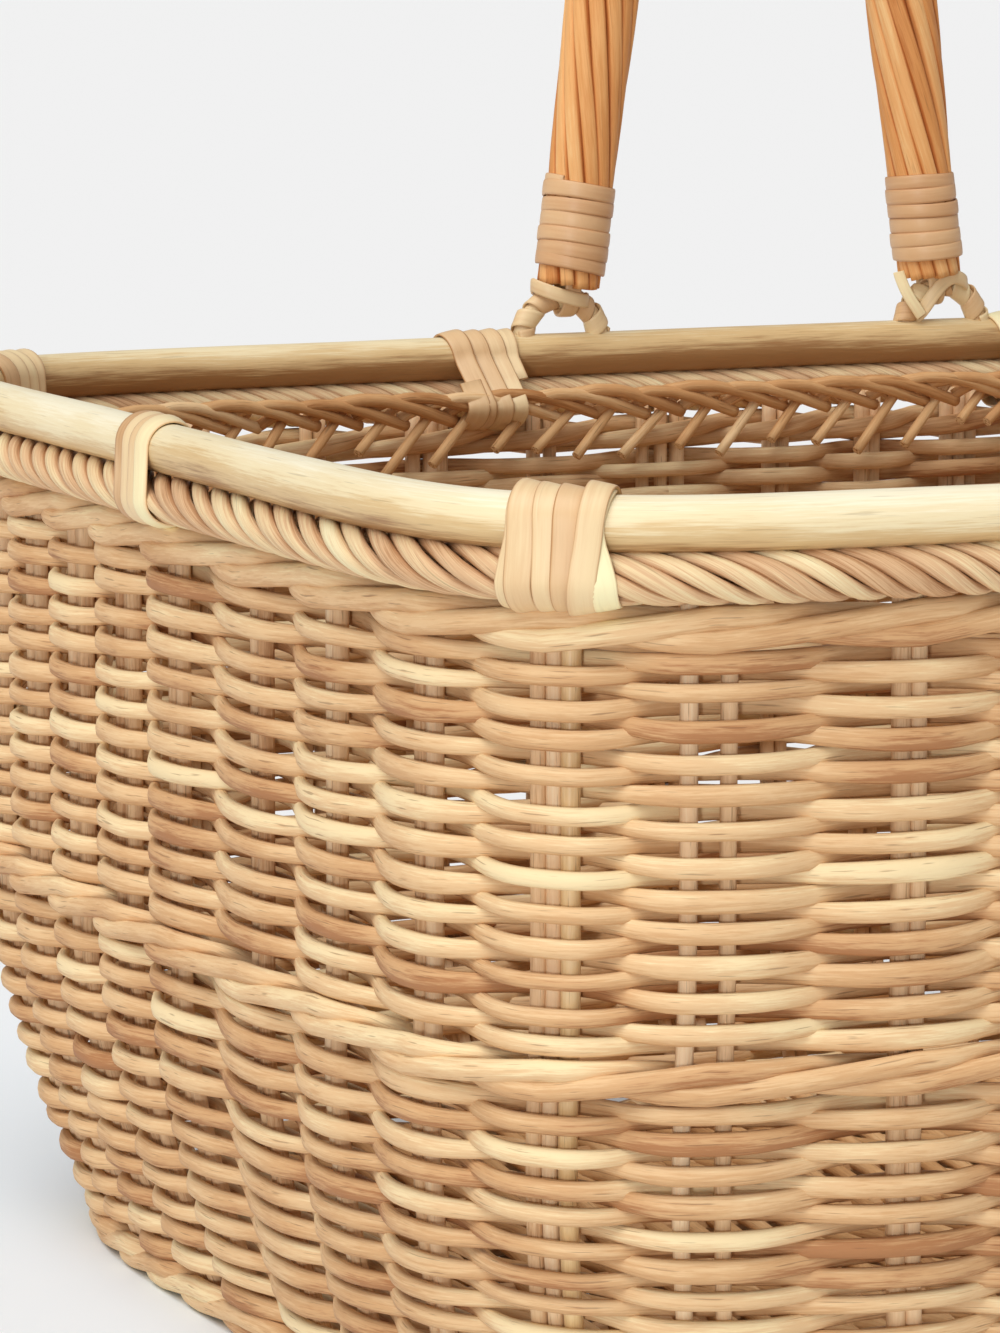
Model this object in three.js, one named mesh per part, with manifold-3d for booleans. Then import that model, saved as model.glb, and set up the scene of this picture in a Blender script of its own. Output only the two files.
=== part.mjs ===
// Picnic basket of woven cane: an open rectangular body with rounded corners, a peeled pole lashed
// along its rim, and two twisted bail handles that swing on cane rings.
// Millimetres, +Z up, long side along X, origin on the ground at the middle of the footprint.
import * as THREE from "three";
import { mergeVertices } from "three/addons/utils/BufferGeometryUtils.js";
import Module from "manifold-3d";

const wasm = await Module();
wasm.setup();

// Between neighbouring pieces
const clearance = 0.3;

// Plan outline, measured at the centre of the rim pole
const rimHalfLength = 232.3;
const rimHalfWidth = 185;
const rimSquareness = 7.16; // exponent of the outline: 2 is an ellipse, more is squarer
const footSquareness = 5;
const roundingHeight = 108; // below this height the corners grow rounder
const drawInHeight = 80; // below this height the walls draw in to the foot
const drawInPower = 1.6;
const footInset = 19.5;
const wallThickness = 12;
const plainStations = 48; // corners of a ring's plan
const fineStations = 72;
const cutterOvershoot = 1; // how far a cavity reaches past the piece that it hollows

// Heights of the bands, from the ground up
const footHeight = 8;
const lowerWeaveHeight = 76.5;
const middleWaleHeight = 9.8;
const upperWeaveHeight = 75.8;
const topWaleHeight = 9.8;
const borderHeight = 9.6;

// Groups of uprights: gaps between neighbours along the rim, from the near left corner's post on
const nearSideGaps = [33, 41.6, 34, 34, 34, 33, 33, 33, 33, 33, 33, 31, 33.5];
const rightEndGaps = [34, 33, 33, 34, 33, 32, 33, 33.4, 33, 33.2];
const farSideGaps = [31.5, 31, 33, 32, 33, 26, 26, 33, 33, 31, 31, 31, 31, 31];
const leftEndGaps = [41, 30, 30, 30, 32, 48, 40, 42, 38];
const nearLeftPostX = 216.7; // from the middle
const cornerLean = 4; // degrees that the groups beside a corner lean towards the ends
const leanBearing = 31; // degrees from the long axis, where the lean is greatest
const leanReach = 17;

// Bands and rim
const weaveRows = 24; // in each of the two bands
const weaveRelief = 3.8; // from the front of a weaver back to where it passes behind an upright
const lowerWeaveLevels = 6; // of the inner face
const waleProud = 1; // how far a wale stands out of the weave
const waleBevel = 2.5;
const footDepth = 9;
const footBevel = 2;
const borderDepth = 12;
const poleRadius = 5.5;
const poleSides = 8;
const plaitDepth = 5;
const plaitHeight = 12;
const plaitBevel = 1.8;
const plaitBelowBorder = 8; // from the border's underside to the plait's lower edge

// Base
const baseThickness = 7;
const baseLift = 2;
const stickRadius = 2.2;
const stickSides = 8;
const stickCount = 7;
const stickSpacing = 40;
const stickEndRoom = 1;

// Lashings that bind the pole to the border
const caneWidth = 4.4;
const caneThickness = 0.9;
const canePitch = 4.9;
const lashingTurns = 4;
const lashingSides = 8; // steps in a turn, half round the pole and half round the border
const cornerLashingInset = 23.3; // from the rim's end in to the middle of a corner lashing
const sideLashingRoom = 0.25; // between a ring's foot and the side lashing

// Cane rings that stand on the pole, and the straps that swing on them
const ringCrownRadius = 2.6;
const ringFootRadius = 3.2;
const ringOutset = 1.2; // how far a ring stands outside its leg
const ringSideRoom = 3.7;
const ringRoomBelow = 2.9;
const ringSteps = 12;
const ringSides = 8;
const strapWidth = 4.6;
const strapThickness = 1.4;
const strapPlay = 1.6;
const strapRecess = 0.4; // how far the strap's legs lie under the bundle's surface
const strapLegLength = 27;
const strapArcSteps = 10;

// Bail handles
const handleSpan = 104.5; // between the two legs at the rings
const handleRise = 69.5; // from the rings to the centre of the bow
const bowRadius = 43;
const gripEndRadius = 8;
const gripMiddleRadius = 9.2;
const gripSwellLength = 85;
const gripEndRoom = 1.2; // between the ring's crown and the cut ends of the bundle
const strandCount = 12;
const strandGroove = 0.9;
const strandTwist = 0.024; // radians for each millimetre of the bundle
const gripSteps = 30;
const wrapTurns = 6;
const wrapPitch = 3.9;
const wrapWidth = 3.4;
const wrapThickness = 1;
const wrapSides = 8;
const wrapStart = 3.6; // from the cut ends of the bundle

// Heights that follow
const lowerWeaveBottom = footHeight + clearance;
const middleWaleBottom = lowerWeaveBottom + lowerWeaveHeight + clearance;
const upperWeaveBottom = middleWaleBottom + middleWaleHeight + clearance;
const topWaleBottom = upperWeaveBottom + upperWeaveHeight + clearance;
const topWaleTop = topWaleBottom + topWaleHeight;
const borderBottom = topWaleTop + caneThickness + 2 * clearance;
const borderMiddle = borderBottom + borderHeight / 2;
const poleMiddle = borderBottom + borderHeight + clearance + poleRadius;
const strapDepth = ringCrownRadius + strapPlay;
const pivotHeight = poleMiddle + poleRadius + ringRoomBelow + strapThickness + strapDepth;
const ringHalfSpan = strapWidth / 2 + ringOutset + ringSideRoom + ringFootRadius;
const ringOuterX = handleSpan / 2 + ringOutset + ringHalfSpan + ringFootRadius;
const cornerLashingX = rimHalfLength - cornerLashingInset;
const sideLashingX = ringOuterX + sideLashingRoom + (lashingTurns * canePitch + caneWidth) / 2;
const strapOuterHalf = gripEndRadius - strapRecess;
const strapInnerHalf = strapOuterHalf - strapThickness;
const gripStart = ringCrownRadius + gripEndRoom;

// Plan outline

// How far the outer face lies inside the rim's outline at a height
function insetAt(height) {
  const below = Math.max(0, (drawInHeight - height) / drawInHeight);
  return footInset * below ** drawInPower;
}

function squarenessAt(height) {
  const share = Math.min(1, height / roundingHeight);
  return footSquareness + (rimSquareness - footSquareness) * share;
}

// Point of the superellipse at a turn, moved outward along its normal
function outlinePoint(turn, height, outward) {
  const power = squarenessAt(height);
  const halfX = rimHalfLength - insetAt(height);
  const halfY = rimHalfWidth - insetAt(height);
  const tiny = 1e-14;
  const cosine = Math.abs(Math.cos(turn)) < tiny ? 0 : Math.cos(turn);
  const sine = Math.abs(Math.sin(turn)) < tiny ? 0 : Math.sin(turn);
  const shareX = Math.abs(cosine) ** (2 / power);
  const shareY = Math.abs(sine) ** (2 / power);
  const normal = new THREE.Vector2(shareX ** (power - 1) / halfX, shareY ** (power - 1) / halfY);
  normal.normalize();
  const x = Math.sign(cosine) * (halfX * shareX + outward * normal.x);
  const y = Math.sign(sine) * (halfY * shareY + outward * normal.y);
  return new THREE.Vector3(x, y, height);
}

// Straight-up outline at the height of one band
function uprightPoint(turn, planHeight, outward, height) {
  const point = outlinePoint(turn, planHeight, outward);
  point.z = height;
  return point;
}

// Distance along the rim's outline, counter-clockwise from the +X end, at even polar angles
const rimTable = [];
{
  const samples = 1440;
  let travelled = 0;
  let last = null;
  for (let index = 0; index <= samples; index += 1) {
    const heading = (2 * Math.PI * index) / samples;
    const shareX = Math.abs(Math.cos(heading) / rimHalfLength) ** rimSquareness;
    const shareY = Math.abs(Math.sin(heading) / rimHalfWidth) ** rimSquareness;
    const reach = (shareX + shareY) ** (-1 / rimSquareness);
    const point = new THREE.Vector2(reach * Math.cos(heading), reach * Math.sin(heading));
    travelled += last ? point.distanceTo(last) : 0;
    rimTable.push({ point, travelled });
    last = point;
  }
}
const rimLength = rimTable[rimTable.length - 1].travelled;

// Direction from the middle to the rim at a distance along it
function bearingAtDistance(distance) {
  const wanted = ((distance % rimLength) + rimLength) % rimLength;
  const after = Math.max(1, rimTable.findIndex((entry) => entry.travelled >= wanted));
  const from = rimTable[after - 1];
  const to = rimTable[after];
  const share = (wanted - from.travelled) / (to.travelled - from.travelled);
  const point = from.point.clone().lerp(to.point, share);
  return Math.atan2(point.y, point.x);
}

// Turn of the superellipse that lies in a direction from the middle
function turnAtBearing(bearing, height) {
  const halfPower = squarenessAt(height) / 2;
  const x = Math.cos(bearing) / (rimHalfLength - insetAt(height));
  const y = Math.sin(bearing) / (rimHalfWidth - insetAt(height));
  return Math.atan2(Math.sign(y) * Math.abs(y) ** halfPower, Math.sign(x) * Math.abs(x) ** halfPower);
}

function turnAtDistance(distance) {
  return turnAtBearing(bearingAtDistance(distance), poleMiddle);
}

// How far the uprights in a direction from the middle have leaned towards the nearer end at a height
function leanAt(bearing, height) {
  const fold = Math.atan2(Math.abs(Math.sin(bearing)), Math.abs(Math.cos(bearing)));
  const off = (THREE.MathUtils.radToDeg(fold) - leanBearing) / leanReach;
  const roundness = 1 - Math.min(1, height / roundingHeight);
  const lowness = (insetAt(height) / footInset + roundness) / 2;
  const greatest = THREE.MathUtils.degToRad(cornerLean) * Math.sign(Math.sin(2 * bearing));
  return -greatest * Math.exp(-off * off) * lowness;
}

// Distance along the rim, in the first quarter, where it has a given x
function distanceAtX(x) {
  return rimTable.find((entry) => entry.point.x <= x).travelled;
}

// Solids

// Moves every vertex to where place(x, y, z) puts it, and closes the surface facing outward
function bend(geometry, place) {
  const positions = geometry.getAttribute("position");
  for (let index = 0; index < positions.count; index += 1) {
    const moved = place(positions.getX(index), positions.getY(index), positions.getZ(index));
    positions.setXYZ(index, moved.x, moved.y, moved.z);
  }
  return closed(geometry);
}

// Shared vertices merged, faces turned outward where the volume comes out negative
function closed(geometry) {
  geometry.deleteAttribute("normal");
  geometry.deleteAttribute("uv");
  const merged = mergeVertices(geometry);
  const positions = merged.getAttribute("position");
  const index = merged.getIndex();
  const corner = [new THREE.Vector3(), new THREE.Vector3(), new THREE.Vector3()];
  let volume = 0;
  for (let face = 0; face < index.count; face += 3) {
    corner.forEach((point, side) => point.fromBufferAttribute(positions, index.getX(face + side)));
    volume += corner[0].dot(corner[1].clone().cross(corner[2])) / 6;
  }
  if (volume < 0) {
    for (let face = 0; face < index.count; face += 3) {
      const second = index.getX(face + 1);
      index.setX(face + 1, index.getX(face + 2));
      index.setX(face + 2, second);
    }
  }
  return merged;
}

function toSolid(geometry) {
  const source = closed(geometry);
  const vertProperties = new Float32Array(source.getAttribute("position").array);
  const triVerts = new Uint32Array(source.getIndex().array);
  return new wasm.Manifold(new wasm.Mesh({ numProp: 3, vertProperties, triVerts }));
}

function toGeometry(solid) {
  const mesh = solid.getMesh();
  const geometry = new THREE.BufferGeometry();
  geometry.setAttribute("position", new THREE.BufferAttribute(new Float32Array(mesh.vertProperties), 3));
  geometry.setIndex(new THREE.BufferAttribute(new Uint32Array(mesh.triVerts), 1));
  return geometry;
}

// Removes each cutter from a piece
function cut(geometry, cutters) {
  let solid = toSolid(geometry);
  for (const cutter of cutters) {
    solid = solid.subtract(toSolid(cutter));
  }
  return toGeometry(solid);
}

// Ring of a section, given as [outward, height] corners, carried round the basket's plan
function ringAround(section, stations, place) {
  const reach = rimHalfWidth;
  const profile = section.map(([outward, height]) => new THREE.Vector2(reach + outward, height));
  profile.push(profile[0].clone());
  const lathe = new THREE.LatheGeometry(profile, stations);
  return bend(lathe, (x, y, z) => place(Math.atan2(x, z), Math.hypot(x, z) - reach, y));
}

// Corners of a regular oval section
function ovalSection(outward, height, halfDepth, halfHeight, sides) {
  const corners = [];
  for (let side = 0; side < sides; side += 1) {
    const angle = (2 * Math.PI * side) / sides;
    corners.push([outward + halfDepth * Math.cos(angle), height + halfHeight * Math.sin(angle)]);
  }
  return corners;
}

// Upright band with bevelled outer edges; its inner face is flush with the weave's
function bandSection(outer, inner, bottom, top, bevel) {
  return [
    [inner, bottom],
    [outer - bevel, bottom],
    [outer, bottom + bevel],
    [outer, top - bevel],
    [outer - bevel, top],
    [inner, top],
  ];
}

// Rings of equally many points one above another, joined by faces and closed by a fan at each end.
// Each face's fold starts at its lower left corner where foldsLeft(level, index) says so.
function stack(rings, foldsLeft = () => true) {
  const count = rings[0].length;
  const faces = [];
  for (let level = 0; level + 1 < rings.length; level += 1) {
    for (let index = 0; index < count; index += 1) {
      const left = level * count + index;
      const right = level * count + ((index + 1) % count);
      const split = foldsLeft(level, index) ? [right + count, left] : [left + count, right];
      faces.push(left, right, split[0], right + count, left + count, split[1]);
    }
  }
  const points = rings.flat();
  for (const level of [0, rings.length - 1]) {
    const centre = points.length;
    points.push(new THREE.Vector3(0, 0, rings[level][0].z));
    for (let index = 0; index < count; index += 1) {
      const here = level * count + index;
      const next = level * count + ((index + 1) % count);
      faces.push(...(level === 0 ? [centre, next, here] : [centre, here, next]));
    }
  }
  const geometry = new THREE.BufferGeometry().setFromPoints(points);
  geometry.setIndex(faces);
  return geometry;
}

// Straight prism of a section, for bending: its length runs along z in whole steps
function prism(corners, steps) {
  const shape = new THREE.Shape(corners.map(([x, y]) => new THREE.Vector2(x, y)));
  return new THREE.ExtrudeGeometry(shape, { depth: steps, steps, bevelEnabled: false });
}

// Woven body

// Directions of the groups of uprights, with the gaps scaled to the rim's length
const groupGaps = [...nearSideGaps, ...rightEndGaps, ...farSideGaps, ...leftEndGaps];
const groupBearings = [];
{
  const gapTotal = groupGaps.reduce((sum, gap) => sum + gap, 0);
  let distance = rimLength / 2 + distanceAtX(nearLeftPostX);
  for (const gap of groupGaps) {
    groupBearings.push(bearingAtDistance(distance));
    distance += (gap * rimLength) / gapTotal;
  }
}

// Solid whose outer face stands out where a weaver passes in front of a group of uprights and sinks
// where it passes behind. Neighbouring rows take turns, and valleys run between their crests.
function makeWovenSolid(bottom, height) {
  const rowHeight = height / weaveRows;
  const passesInFront = (row, group) => (row + group) % 2 === 0;
  const ringAt = (z, outwardOf) => groupBearings.map((bearing, group) =>
    outlinePoint(turnAtBearing(bearing + leanAt(bearing, z), z), z, outwardOf(group)));
  const rings = [ringAt(bottom, () => -weaveRelief / 2)];
  for (let row = 0; row < weaveRows; row += 1) {
    const middle = bottom + rowHeight * (row + 0.5);
    rings.push(ringAt(middle, (group) => (passesInFront(row, group) ? 0 : -weaveRelief)));
  }
  rings.push(ringAt(bottom + height, () => -weaveRelief / 2));
  return stack(rings, (level, group) => !passesInFront(level - 1, group));
}

// Ring of points inside the wall
function innerRing(planHeight, z) {
  const ring = [];
  for (let station = 0; station < plainStations; station += 1) {
    const turn = (2 * Math.PI * station) / plainStations;
    ring.push(uprightPoint(turn, planHeight, -wallThickness, z));
  }
  return ring;
}

function makeUpperWeave() {
  const top = upperWeaveBottom + upperWeaveHeight;
  const ends = [upperWeaveBottom - cutterOvershoot, top + cutterOvershoot];
  const cavity = stack(ends.map((z) => innerRing(upperWeaveBottom, z)));
  return cut(makeWovenSolid(upperWeaveBottom, upperWeaveHeight), [cavity]);
}

// The lower weave follows the drawn-in profile of the wall, inside and out
function makeLowerWeave() {
  const levels = [lowerWeaveBottom - cutterOvershoot];
  for (let level = 0; level < lowerWeaveLevels; level += 1) {
    levels.push(lowerWeaveBottom + (lowerWeaveHeight * level) / (lowerWeaveLevels - 1));
  }
  levels.push(lowerWeaveBottom + lowerWeaveHeight + cutterOvershoot);
  const cavity = stack(levels.map((z) => innerRing(z, z)));
  return cut(makeWovenSolid(lowerWeaveBottom, lowerWeaveHeight), [cavity]);
}

// Wale: three rods twisted round the uprights, standing a little proud of the weave
function makeWale(bottom, height) {
  const section = bandSection(waleProud, -wallThickness, bottom, bottom + height, waleBevel);
  return ringAround(section, plainStations, (turn, outward, z) => uprightPoint(turn, bottom, outward, z));
}

// Border worked round the edge of the base; the basket stands on its flat underside
function makeFootBorder() {
  const section = [
    [-footBevel, 0],
    [0, footHeight / 2],
    [-footBevel, footHeight],
    [-footDepth, footHeight],
    [-footDepth, 0],
  ];
  return ringAround(section, plainStations, (turn, outward, z) => uprightPoint(turn, 0, outward, z));
}

// Plait of the turned-down stake ends, inside the wall under the border
function makeInnerPlait() {
  const outer = -wallThickness - clearance;
  const bottom = borderBottom - plaitBelowBorder;
  const top = bottom + plaitHeight;
  const section = [
    [outer, bottom],
    [outer, borderBottom - clearance],
    [-borderDepth / 2 - clearance - plaitBevel, top],
    [outer - plaitDepth + plaitBevel, top],
    [outer - plaitDepth, top - plaitBevel],
    [outer - plaitDepth, bottom + plaitBevel],
    [outer - plaitDepth + plaitBevel, bottom],
  ];
  return ringAround(section, plainStations, (turn, outward, z) => uprightPoint(turn, bottom, outward, z));
}

// Base

function basePlan() {
  const corners = [];
  for (let station = 0; station < plainStations; station += 1) {
    const turn = (2 * Math.PI * station) / plainStations;
    const point = outlinePoint(turn, 0, -footDepth - clearance);
    corners.push(new THREE.Vector2(point.x, point.y));
  }
  return corners;
}

function stickMiddle(index) {
  return (index - (stickCount - 1) / 2) * stickSpacing;
}

function makeStick(y, radius, halfLength) {
  const stick = new THREE.CylinderGeometry(radius, radius, 2 * halfLength, stickSides);
  stick.rotateZ(Math.PI / 2);
  stick.translate(0, y, baseLift + baseThickness / 2);
  return stick;
}

// Woven panel with a channel for each stick that runs through it
function makeBaseWeave() {
  const plan = new THREE.Shape(basePlan());
  const panel = new THREE.ExtrudeGeometry(plan, { depth: baseThickness, bevelEnabled: false });
  panel.translate(0, 0, baseLift);
  const channels = [];
  for (let index = 0; index < stickCount; index += 1) {
    channels.push(makeStick(stickMiddle(index), stickRadius + clearance, rimHalfLength));
  }
  return cut(panel, channels);
}

// A stick ends just inside the panel's edge
function makeBaseStick(index) {
  const middle = stickMiddle(index);
  const plan = basePlan();
  let halfLength = Infinity;
  for (const y of [middle - stickRadius, middle + stickRadius]) {
    for (let corner = 0; corner < plan.length; corner += 1) {
      const from = plan[corner];
      const to = plan[(corner + 1) % plan.length];
      const crosses = (from.y <= y) !== (to.y <= y);
      if (crosses) {
        const x = from.x + ((to.x - from.x) * (y - from.y)) / (to.y - from.y);
        halfLength = Math.min(halfLength, Math.abs(x));
      }
    }
  }
  return closed(makeStick(middle, stickRadius, halfLength - stickEndRoom));
}

// Windings of flat cane

// Corner of the loop round the pole and the border, at a distance off their faces
function lashingCorner(step, off) {
  const angle = (2 * Math.PI * (step + 0.5)) / lashingSides;
  const spread = 1 / Math.cos(Math.PI / lashingSides);
  const overPole = Math.sin(angle) > 0;
  const halfDepth = overPole ? poleRadius : borderDepth / 2;
  const halfHeight = overPole ? poleRadius : borderHeight / 2;
  const middle = overPole ? poleMiddle : borderMiddle;
  const outward = (halfDepth + off) * spread * Math.cos(angle);
  return { outward, height: middle + (halfHeight + off) * spread * Math.sin(angle) };
}

function lashingPoint(middle, across, off, step) {
  const corner = lashingCorner(step % lashingSides, off);
  const along = middle + across + canePitch * (step / lashingSides - lashingTurns / 2);
  return uprightPoint(turnAtDistance(along), poleMiddle, corner.outward, corner.height);
}

// One unbroken cane wound round the pole and the border, at a distance along the rim
function makeLashing(middle) {
  const corners = [
    [-caneWidth / 2, clearance],
    [caneWidth / 2, clearance],
    [caneWidth / 2, clearance + caneThickness],
    [-caneWidth / 2, clearance + caneThickness],
  ];
  const steps = lashingTurns * lashingSides;
  return bend(prism(corners, steps), (across, off, step) => lashingPoint(middle, across, off, Math.round(step)));
}

// Least distance between the facing edges of neighbouring turns
function leastGap(turns, sides, edgePoint) {
  let least = Infinity;
  for (let step = 0; step + sides <= turns * sides; step += 1) {
    least = Math.min(least, edgePoint(1, step).distanceTo(edgePoint(-1, step + sides)));
  }
  return least;
}

// Handle rings and straps

// Wrapped cane bent into an arch, its feet saddled on the pole
function makeRing(x, y) {
  const footHeightOnPole = poleMiddle + poleRadius / 2;
  const rise = pivotHeight - footHeightOnPole;
  const corners = ovalSection(0, 0, 1, 1, ringSides);
  const arch = bend(prism(corners, ringSteps), (across, side, step) => {
    const angle = (Math.PI * step) / ringSteps;
    const radius = ringCrownRadius + (ringFootRadius - ringCrownRadius) * Math.cos(angle) ** 2;
    const normal = new THREE.Vector2(Math.cos(angle) * rise, Math.sin(angle) * ringHalfSpan).normalize();
    return new THREE.Vector3(
      x + ringHalfSpan * Math.cos(angle) + radius * across * normal.x,
      y + radius * side,
      footHeightOnPole + rise * Math.sin(angle) + radius * across * normal.y,
    );
  });
  const saddleRadius = poleRadius + clearance / Math.cos(Math.PI / poleSides);
  const saddle = new THREE.CylinderGeometry(saddleRadius, saddleRadius, 4 * ringHalfSpan, poleSides);
  saddle.rotateZ(Math.PI / 2);
  saddle.translate(x, y, poleMiddle);
  return cut(arch, [saddle]);
}

// Lean of a handle leg: the line from the ring that touches the bow
const bowDistance = Math.hypot(handleSpan / 2, handleRise);
const legLean = Math.atan2(handleSpan / 2, handleRise) - Math.asin(bowRadius / bowDistance);
const legLength = Math.sqrt(bowDistance ** 2 - bowRadius ** 2);
const bowLength = bowRadius * (Math.PI - 2 * legLean);
const handleLength = 2 * legLength + bowLength;

// Place on the handle's line: x, height over the pivot, and the unit step along it
function handleLine(distance) {
  const fromBow = distance - legLength;
  if (fromBow > 0 && fromBow < bowLength) {
    const angle = legLean + fromBow / bowRadius;
    return {
      x: bowRadius * Math.cos(angle),
      z: handleRise + bowRadius * Math.sin(angle),
      stepX: -Math.sin(angle),
      stepZ: Math.cos(angle),
    };
  }
  const side = fromBow <= 0 ? 1 : -1;
  const along = fromBow <= 0 ? distance : handleLength - distance;
  return {
    x: side * (handleSpan / 2 - along * Math.sin(legLean)),
    z: along * Math.cos(legLean),
    stepX: -Math.sin(legLean),
    stepZ: side * Math.cos(legLean),
  };
}

// Point beside the handle's line, across it in its plane and sideways out of it
function besideHandle(y, distance, across, sideways) {
  const line = handleLine(distance);
  return new THREE.Vector3(
    line.x + across * line.stepZ,
    y + sideways,
    pivotHeight + line.z - across * line.stepX,
  );
}

// Turns a piece modelled on the +X leg, standing on the pivot, into place on either leg
function ontoLeg(geometry, side, y) {
  geometry.rotateY(-side * legLean);
  geometry.translate((side * handleSpan) / 2, y, pivotHeight);
  return closed(geometry);
}

// Flat cane that passes under the ring's crown and runs up both sides of the bundle
function strapShape() {
  const shape = new THREE.Shape();
  shape.moveTo(strapOuterHalf, strapLegLength);
  shape.lineTo(strapOuterHalf, 0);
  shape.absellipse(0, 0, strapOuterHalf, strapDepth + strapThickness, 0, -Math.PI, true);
  shape.lineTo(-strapOuterHalf, strapLegLength);
  shape.lineTo(-strapInnerHalf, strapLegLength);
  shape.lineTo(-strapInnerHalf, 0);
  shape.absellipse(0, 0, strapInnerHalf, strapDepth, -Math.PI, 0, false);
  shape.lineTo(strapInnerHalf, strapLegLength);
  shape.closePath();
  return shape;
}

function makeStrap(side, y) {
  const options = { depth: strapWidth, bevelEnabled: false, curveSegments: strapArcSteps };
  const strap = new THREE.ExtrudeGeometry(strapShape(), options);
  strap.translate(0, 0, -strapWidth / 2);
  strap.rotateX(Math.PI / 2);
  strap.rotateZ(Math.PI / 2);
  return ontoLeg(strap, side, y);
}

// Grooves in the bundle's ends that take the strap's two legs
function makeStrapGroove(side, y, face) {
  const floor = strapInnerHalf - clearance;
  const length = strapLegLength + clearance;
  const groove = new THREE.BoxGeometry(strapWidth + 2 * clearance, gripEndRadius, 2 * length);
  groove.translate(0, face * (floor + gripEndRadius / 2), 0);
  return ontoLeg(groove, side, y);
}

// Bail handles

function gripRadiusAt(distance) {
  const fromEnd = Math.min(distance, handleLength - distance) - gripStart;
  const share = Math.min(1, Math.max(0, fromEnd / gripSwellLength));
  const eased = share * share * (3 - 2 * share);
  return gripEndRadius + (gripMiddleRadius - gripEndRadius) * eased;
}

// Bundle of split canes twisted together and bent into a bow, with a ridge for each strand
function makeGrip(y) {
  const corners = [];
  for (let corner = 0; corner < 2 * strandCount; corner += 1) {
    const angle = (Math.PI * corner) / strandCount;
    const reach = corner % 2 === 0 ? 1 : 1 - strandGroove / gripEndRadius;
    corners.push([reach * Math.cos(angle), reach * Math.sin(angle)]);
  }
  const length = handleLength - 2 * gripStart;
  const bundle = bend(prism(corners, gripSteps), (x, z, step) => {
    const distance = gripStart + (length * step) / gripSteps;
    const twist = strandTwist * (distance - handleLength / 2);
    const radius = gripRadiusAt(distance);
    const across = radius * (x * Math.cos(twist) - z * Math.sin(twist));
    const sideways = radius * (x * Math.sin(twist) + z * Math.cos(twist));
    return besideHandle(y, distance, across, sideways);
  });
  const grooves = [];
  for (const side of [-1, 1]) {
    for (const face of [-1, 1]) {
      grooves.push(makeStrapGroove(side, y, face));
    }
  }
  return cut(bundle, grooves);
}

function wrapPoint(side, y, across, off, step) {
  const spread = 1 / Math.cos(Math.PI / wrapSides);
  const angle = (2 * Math.PI * step) / wrapSides;
  const along = gripStart + wrapStart + wrapWidth / 2 + (wrapPitch * step) / wrapSides + across;
  const reach = (gripRadiusAt(along) + clearance + off) * spread;
  const distance = side > 0 ? along : handleLength - along;
  return besideHandle(y, distance, reach * Math.cos(angle), reach * Math.sin(angle));
}

// One unbroken flat cane wound round the end of the bundle, over the strap's legs
function makeWrap(side, y) {
  const corners = [
    [-wrapWidth / 2, 0],
    [wrapWidth / 2, 0],
    [wrapWidth / 2, wrapThickness],
    [-wrapWidth / 2, wrapThickness],
  ];
  return bend(prism(corners, wrapTurns * wrapSides), (across, off, step) => wrapPoint(side, y, across, off, step));
}

// Assembly

const basket = new THREE.Group();
const strawPole = { color: 0xe6cfa0, roughness: 0.55, metalness: 0 };
const borderCane = { color: 0xd9b98a, roughness: 0.65, metalness: 0 };
const weaveCane = { color: 0xcfa97a, roughness: 0.7, metalness: 0 };
const waleCane = { color: 0xdbbd8c, roughness: 0.65, metalness: 0 };
const bindingCane = { color: 0xdfbb8c, roughness: 0.5, metalness: 0 };
const handleCane = { color: 0xd9a066, roughness: 0.6, metalness: 0 };
const baseCane = { color: 0xb98f62, roughness: 0.75, metalness: 0 };

function addPiece(name, geometry, finish) {
  const mesh = new THREE.Mesh(geometry, new THREE.MeshStandardMaterial(finish));
  mesh.name = name;
  basket.add(mesh);
}

const poleSection = ovalSection(0, poleMiddle, poleRadius, poleRadius, poleSides);
const borderSection = ovalSection(0, borderMiddle, borderDepth / 2, borderHeight / 2, poleSides);
const atRim = (turn, outward, height) => uprightPoint(turn, poleMiddle, outward, height);
addPiece("rim_pole", ringAround(poleSection, fineStations, atRim), strawPole);
addPiece("rolled_border", ringAround(borderSection, fineStations, atRim), borderCane);
addPiece("inner_plait", makeInnerPlait(), borderCane);
addPiece("top_wale", makeWale(topWaleBottom, topWaleHeight), waleCane);
addPiece("upper_weave", makeUpperWeave(), weaveCane);
addPiece("middle_wale", makeWale(middleWaleBottom, middleWaleHeight), waleCane);
addPiece("lower_weave", makeLowerWeave(), weaveCane);
addPiece("foot_border", makeFootBorder(), borderCane);
addPiece("base_weave", makeBaseWeave(), baseCane);
for (let index = 0; index < stickCount; index += 1) {
  addPiece(`base_stick_${index + 1}`, makeBaseStick(index), baseCane);
}

const lashingSpots = { right_end: 0, left_end: rimLength / 2 };
for (const [place, x] of [["corner", cornerLashingX], ["side", sideLashingX]]) {
  const distance = distanceAtX(x);
  lashingSpots[`back_right_${place}`] = distance;
  lashingSpots[`back_left_${place}`] = rimLength / 2 - distance;
  lashingSpots[`front_left_${place}`] = rimLength / 2 + distance;
  lashingSpots[`front_right_${place}`] = rimLength - distance;
}
for (const [place, distance] of Object.entries(lashingSpots)) {
  addPiece(`${place}_lashing`, makeLashing(distance), bindingCane);
}

for (const [end, y] of [["front", -rimHalfWidth], ["back", rimHalfWidth]]) {
  addPiece(`${end}_grip`, makeGrip(y), handleCane);
  for (const [hand, side] of [["left", -1], ["right", 1]]) {
    addPiece(`${end}_${hand}_ring`, makeRing(side * (handleSpan / 2 + ringOutset), y), bindingCane);
    addPiece(`${end}_${hand}_strap`, makeStrap(side, y), bindingCane);
    addPiece(`${end}_${hand}_wrap`, makeWrap(side, y), bindingCane);
  }
}

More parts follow.
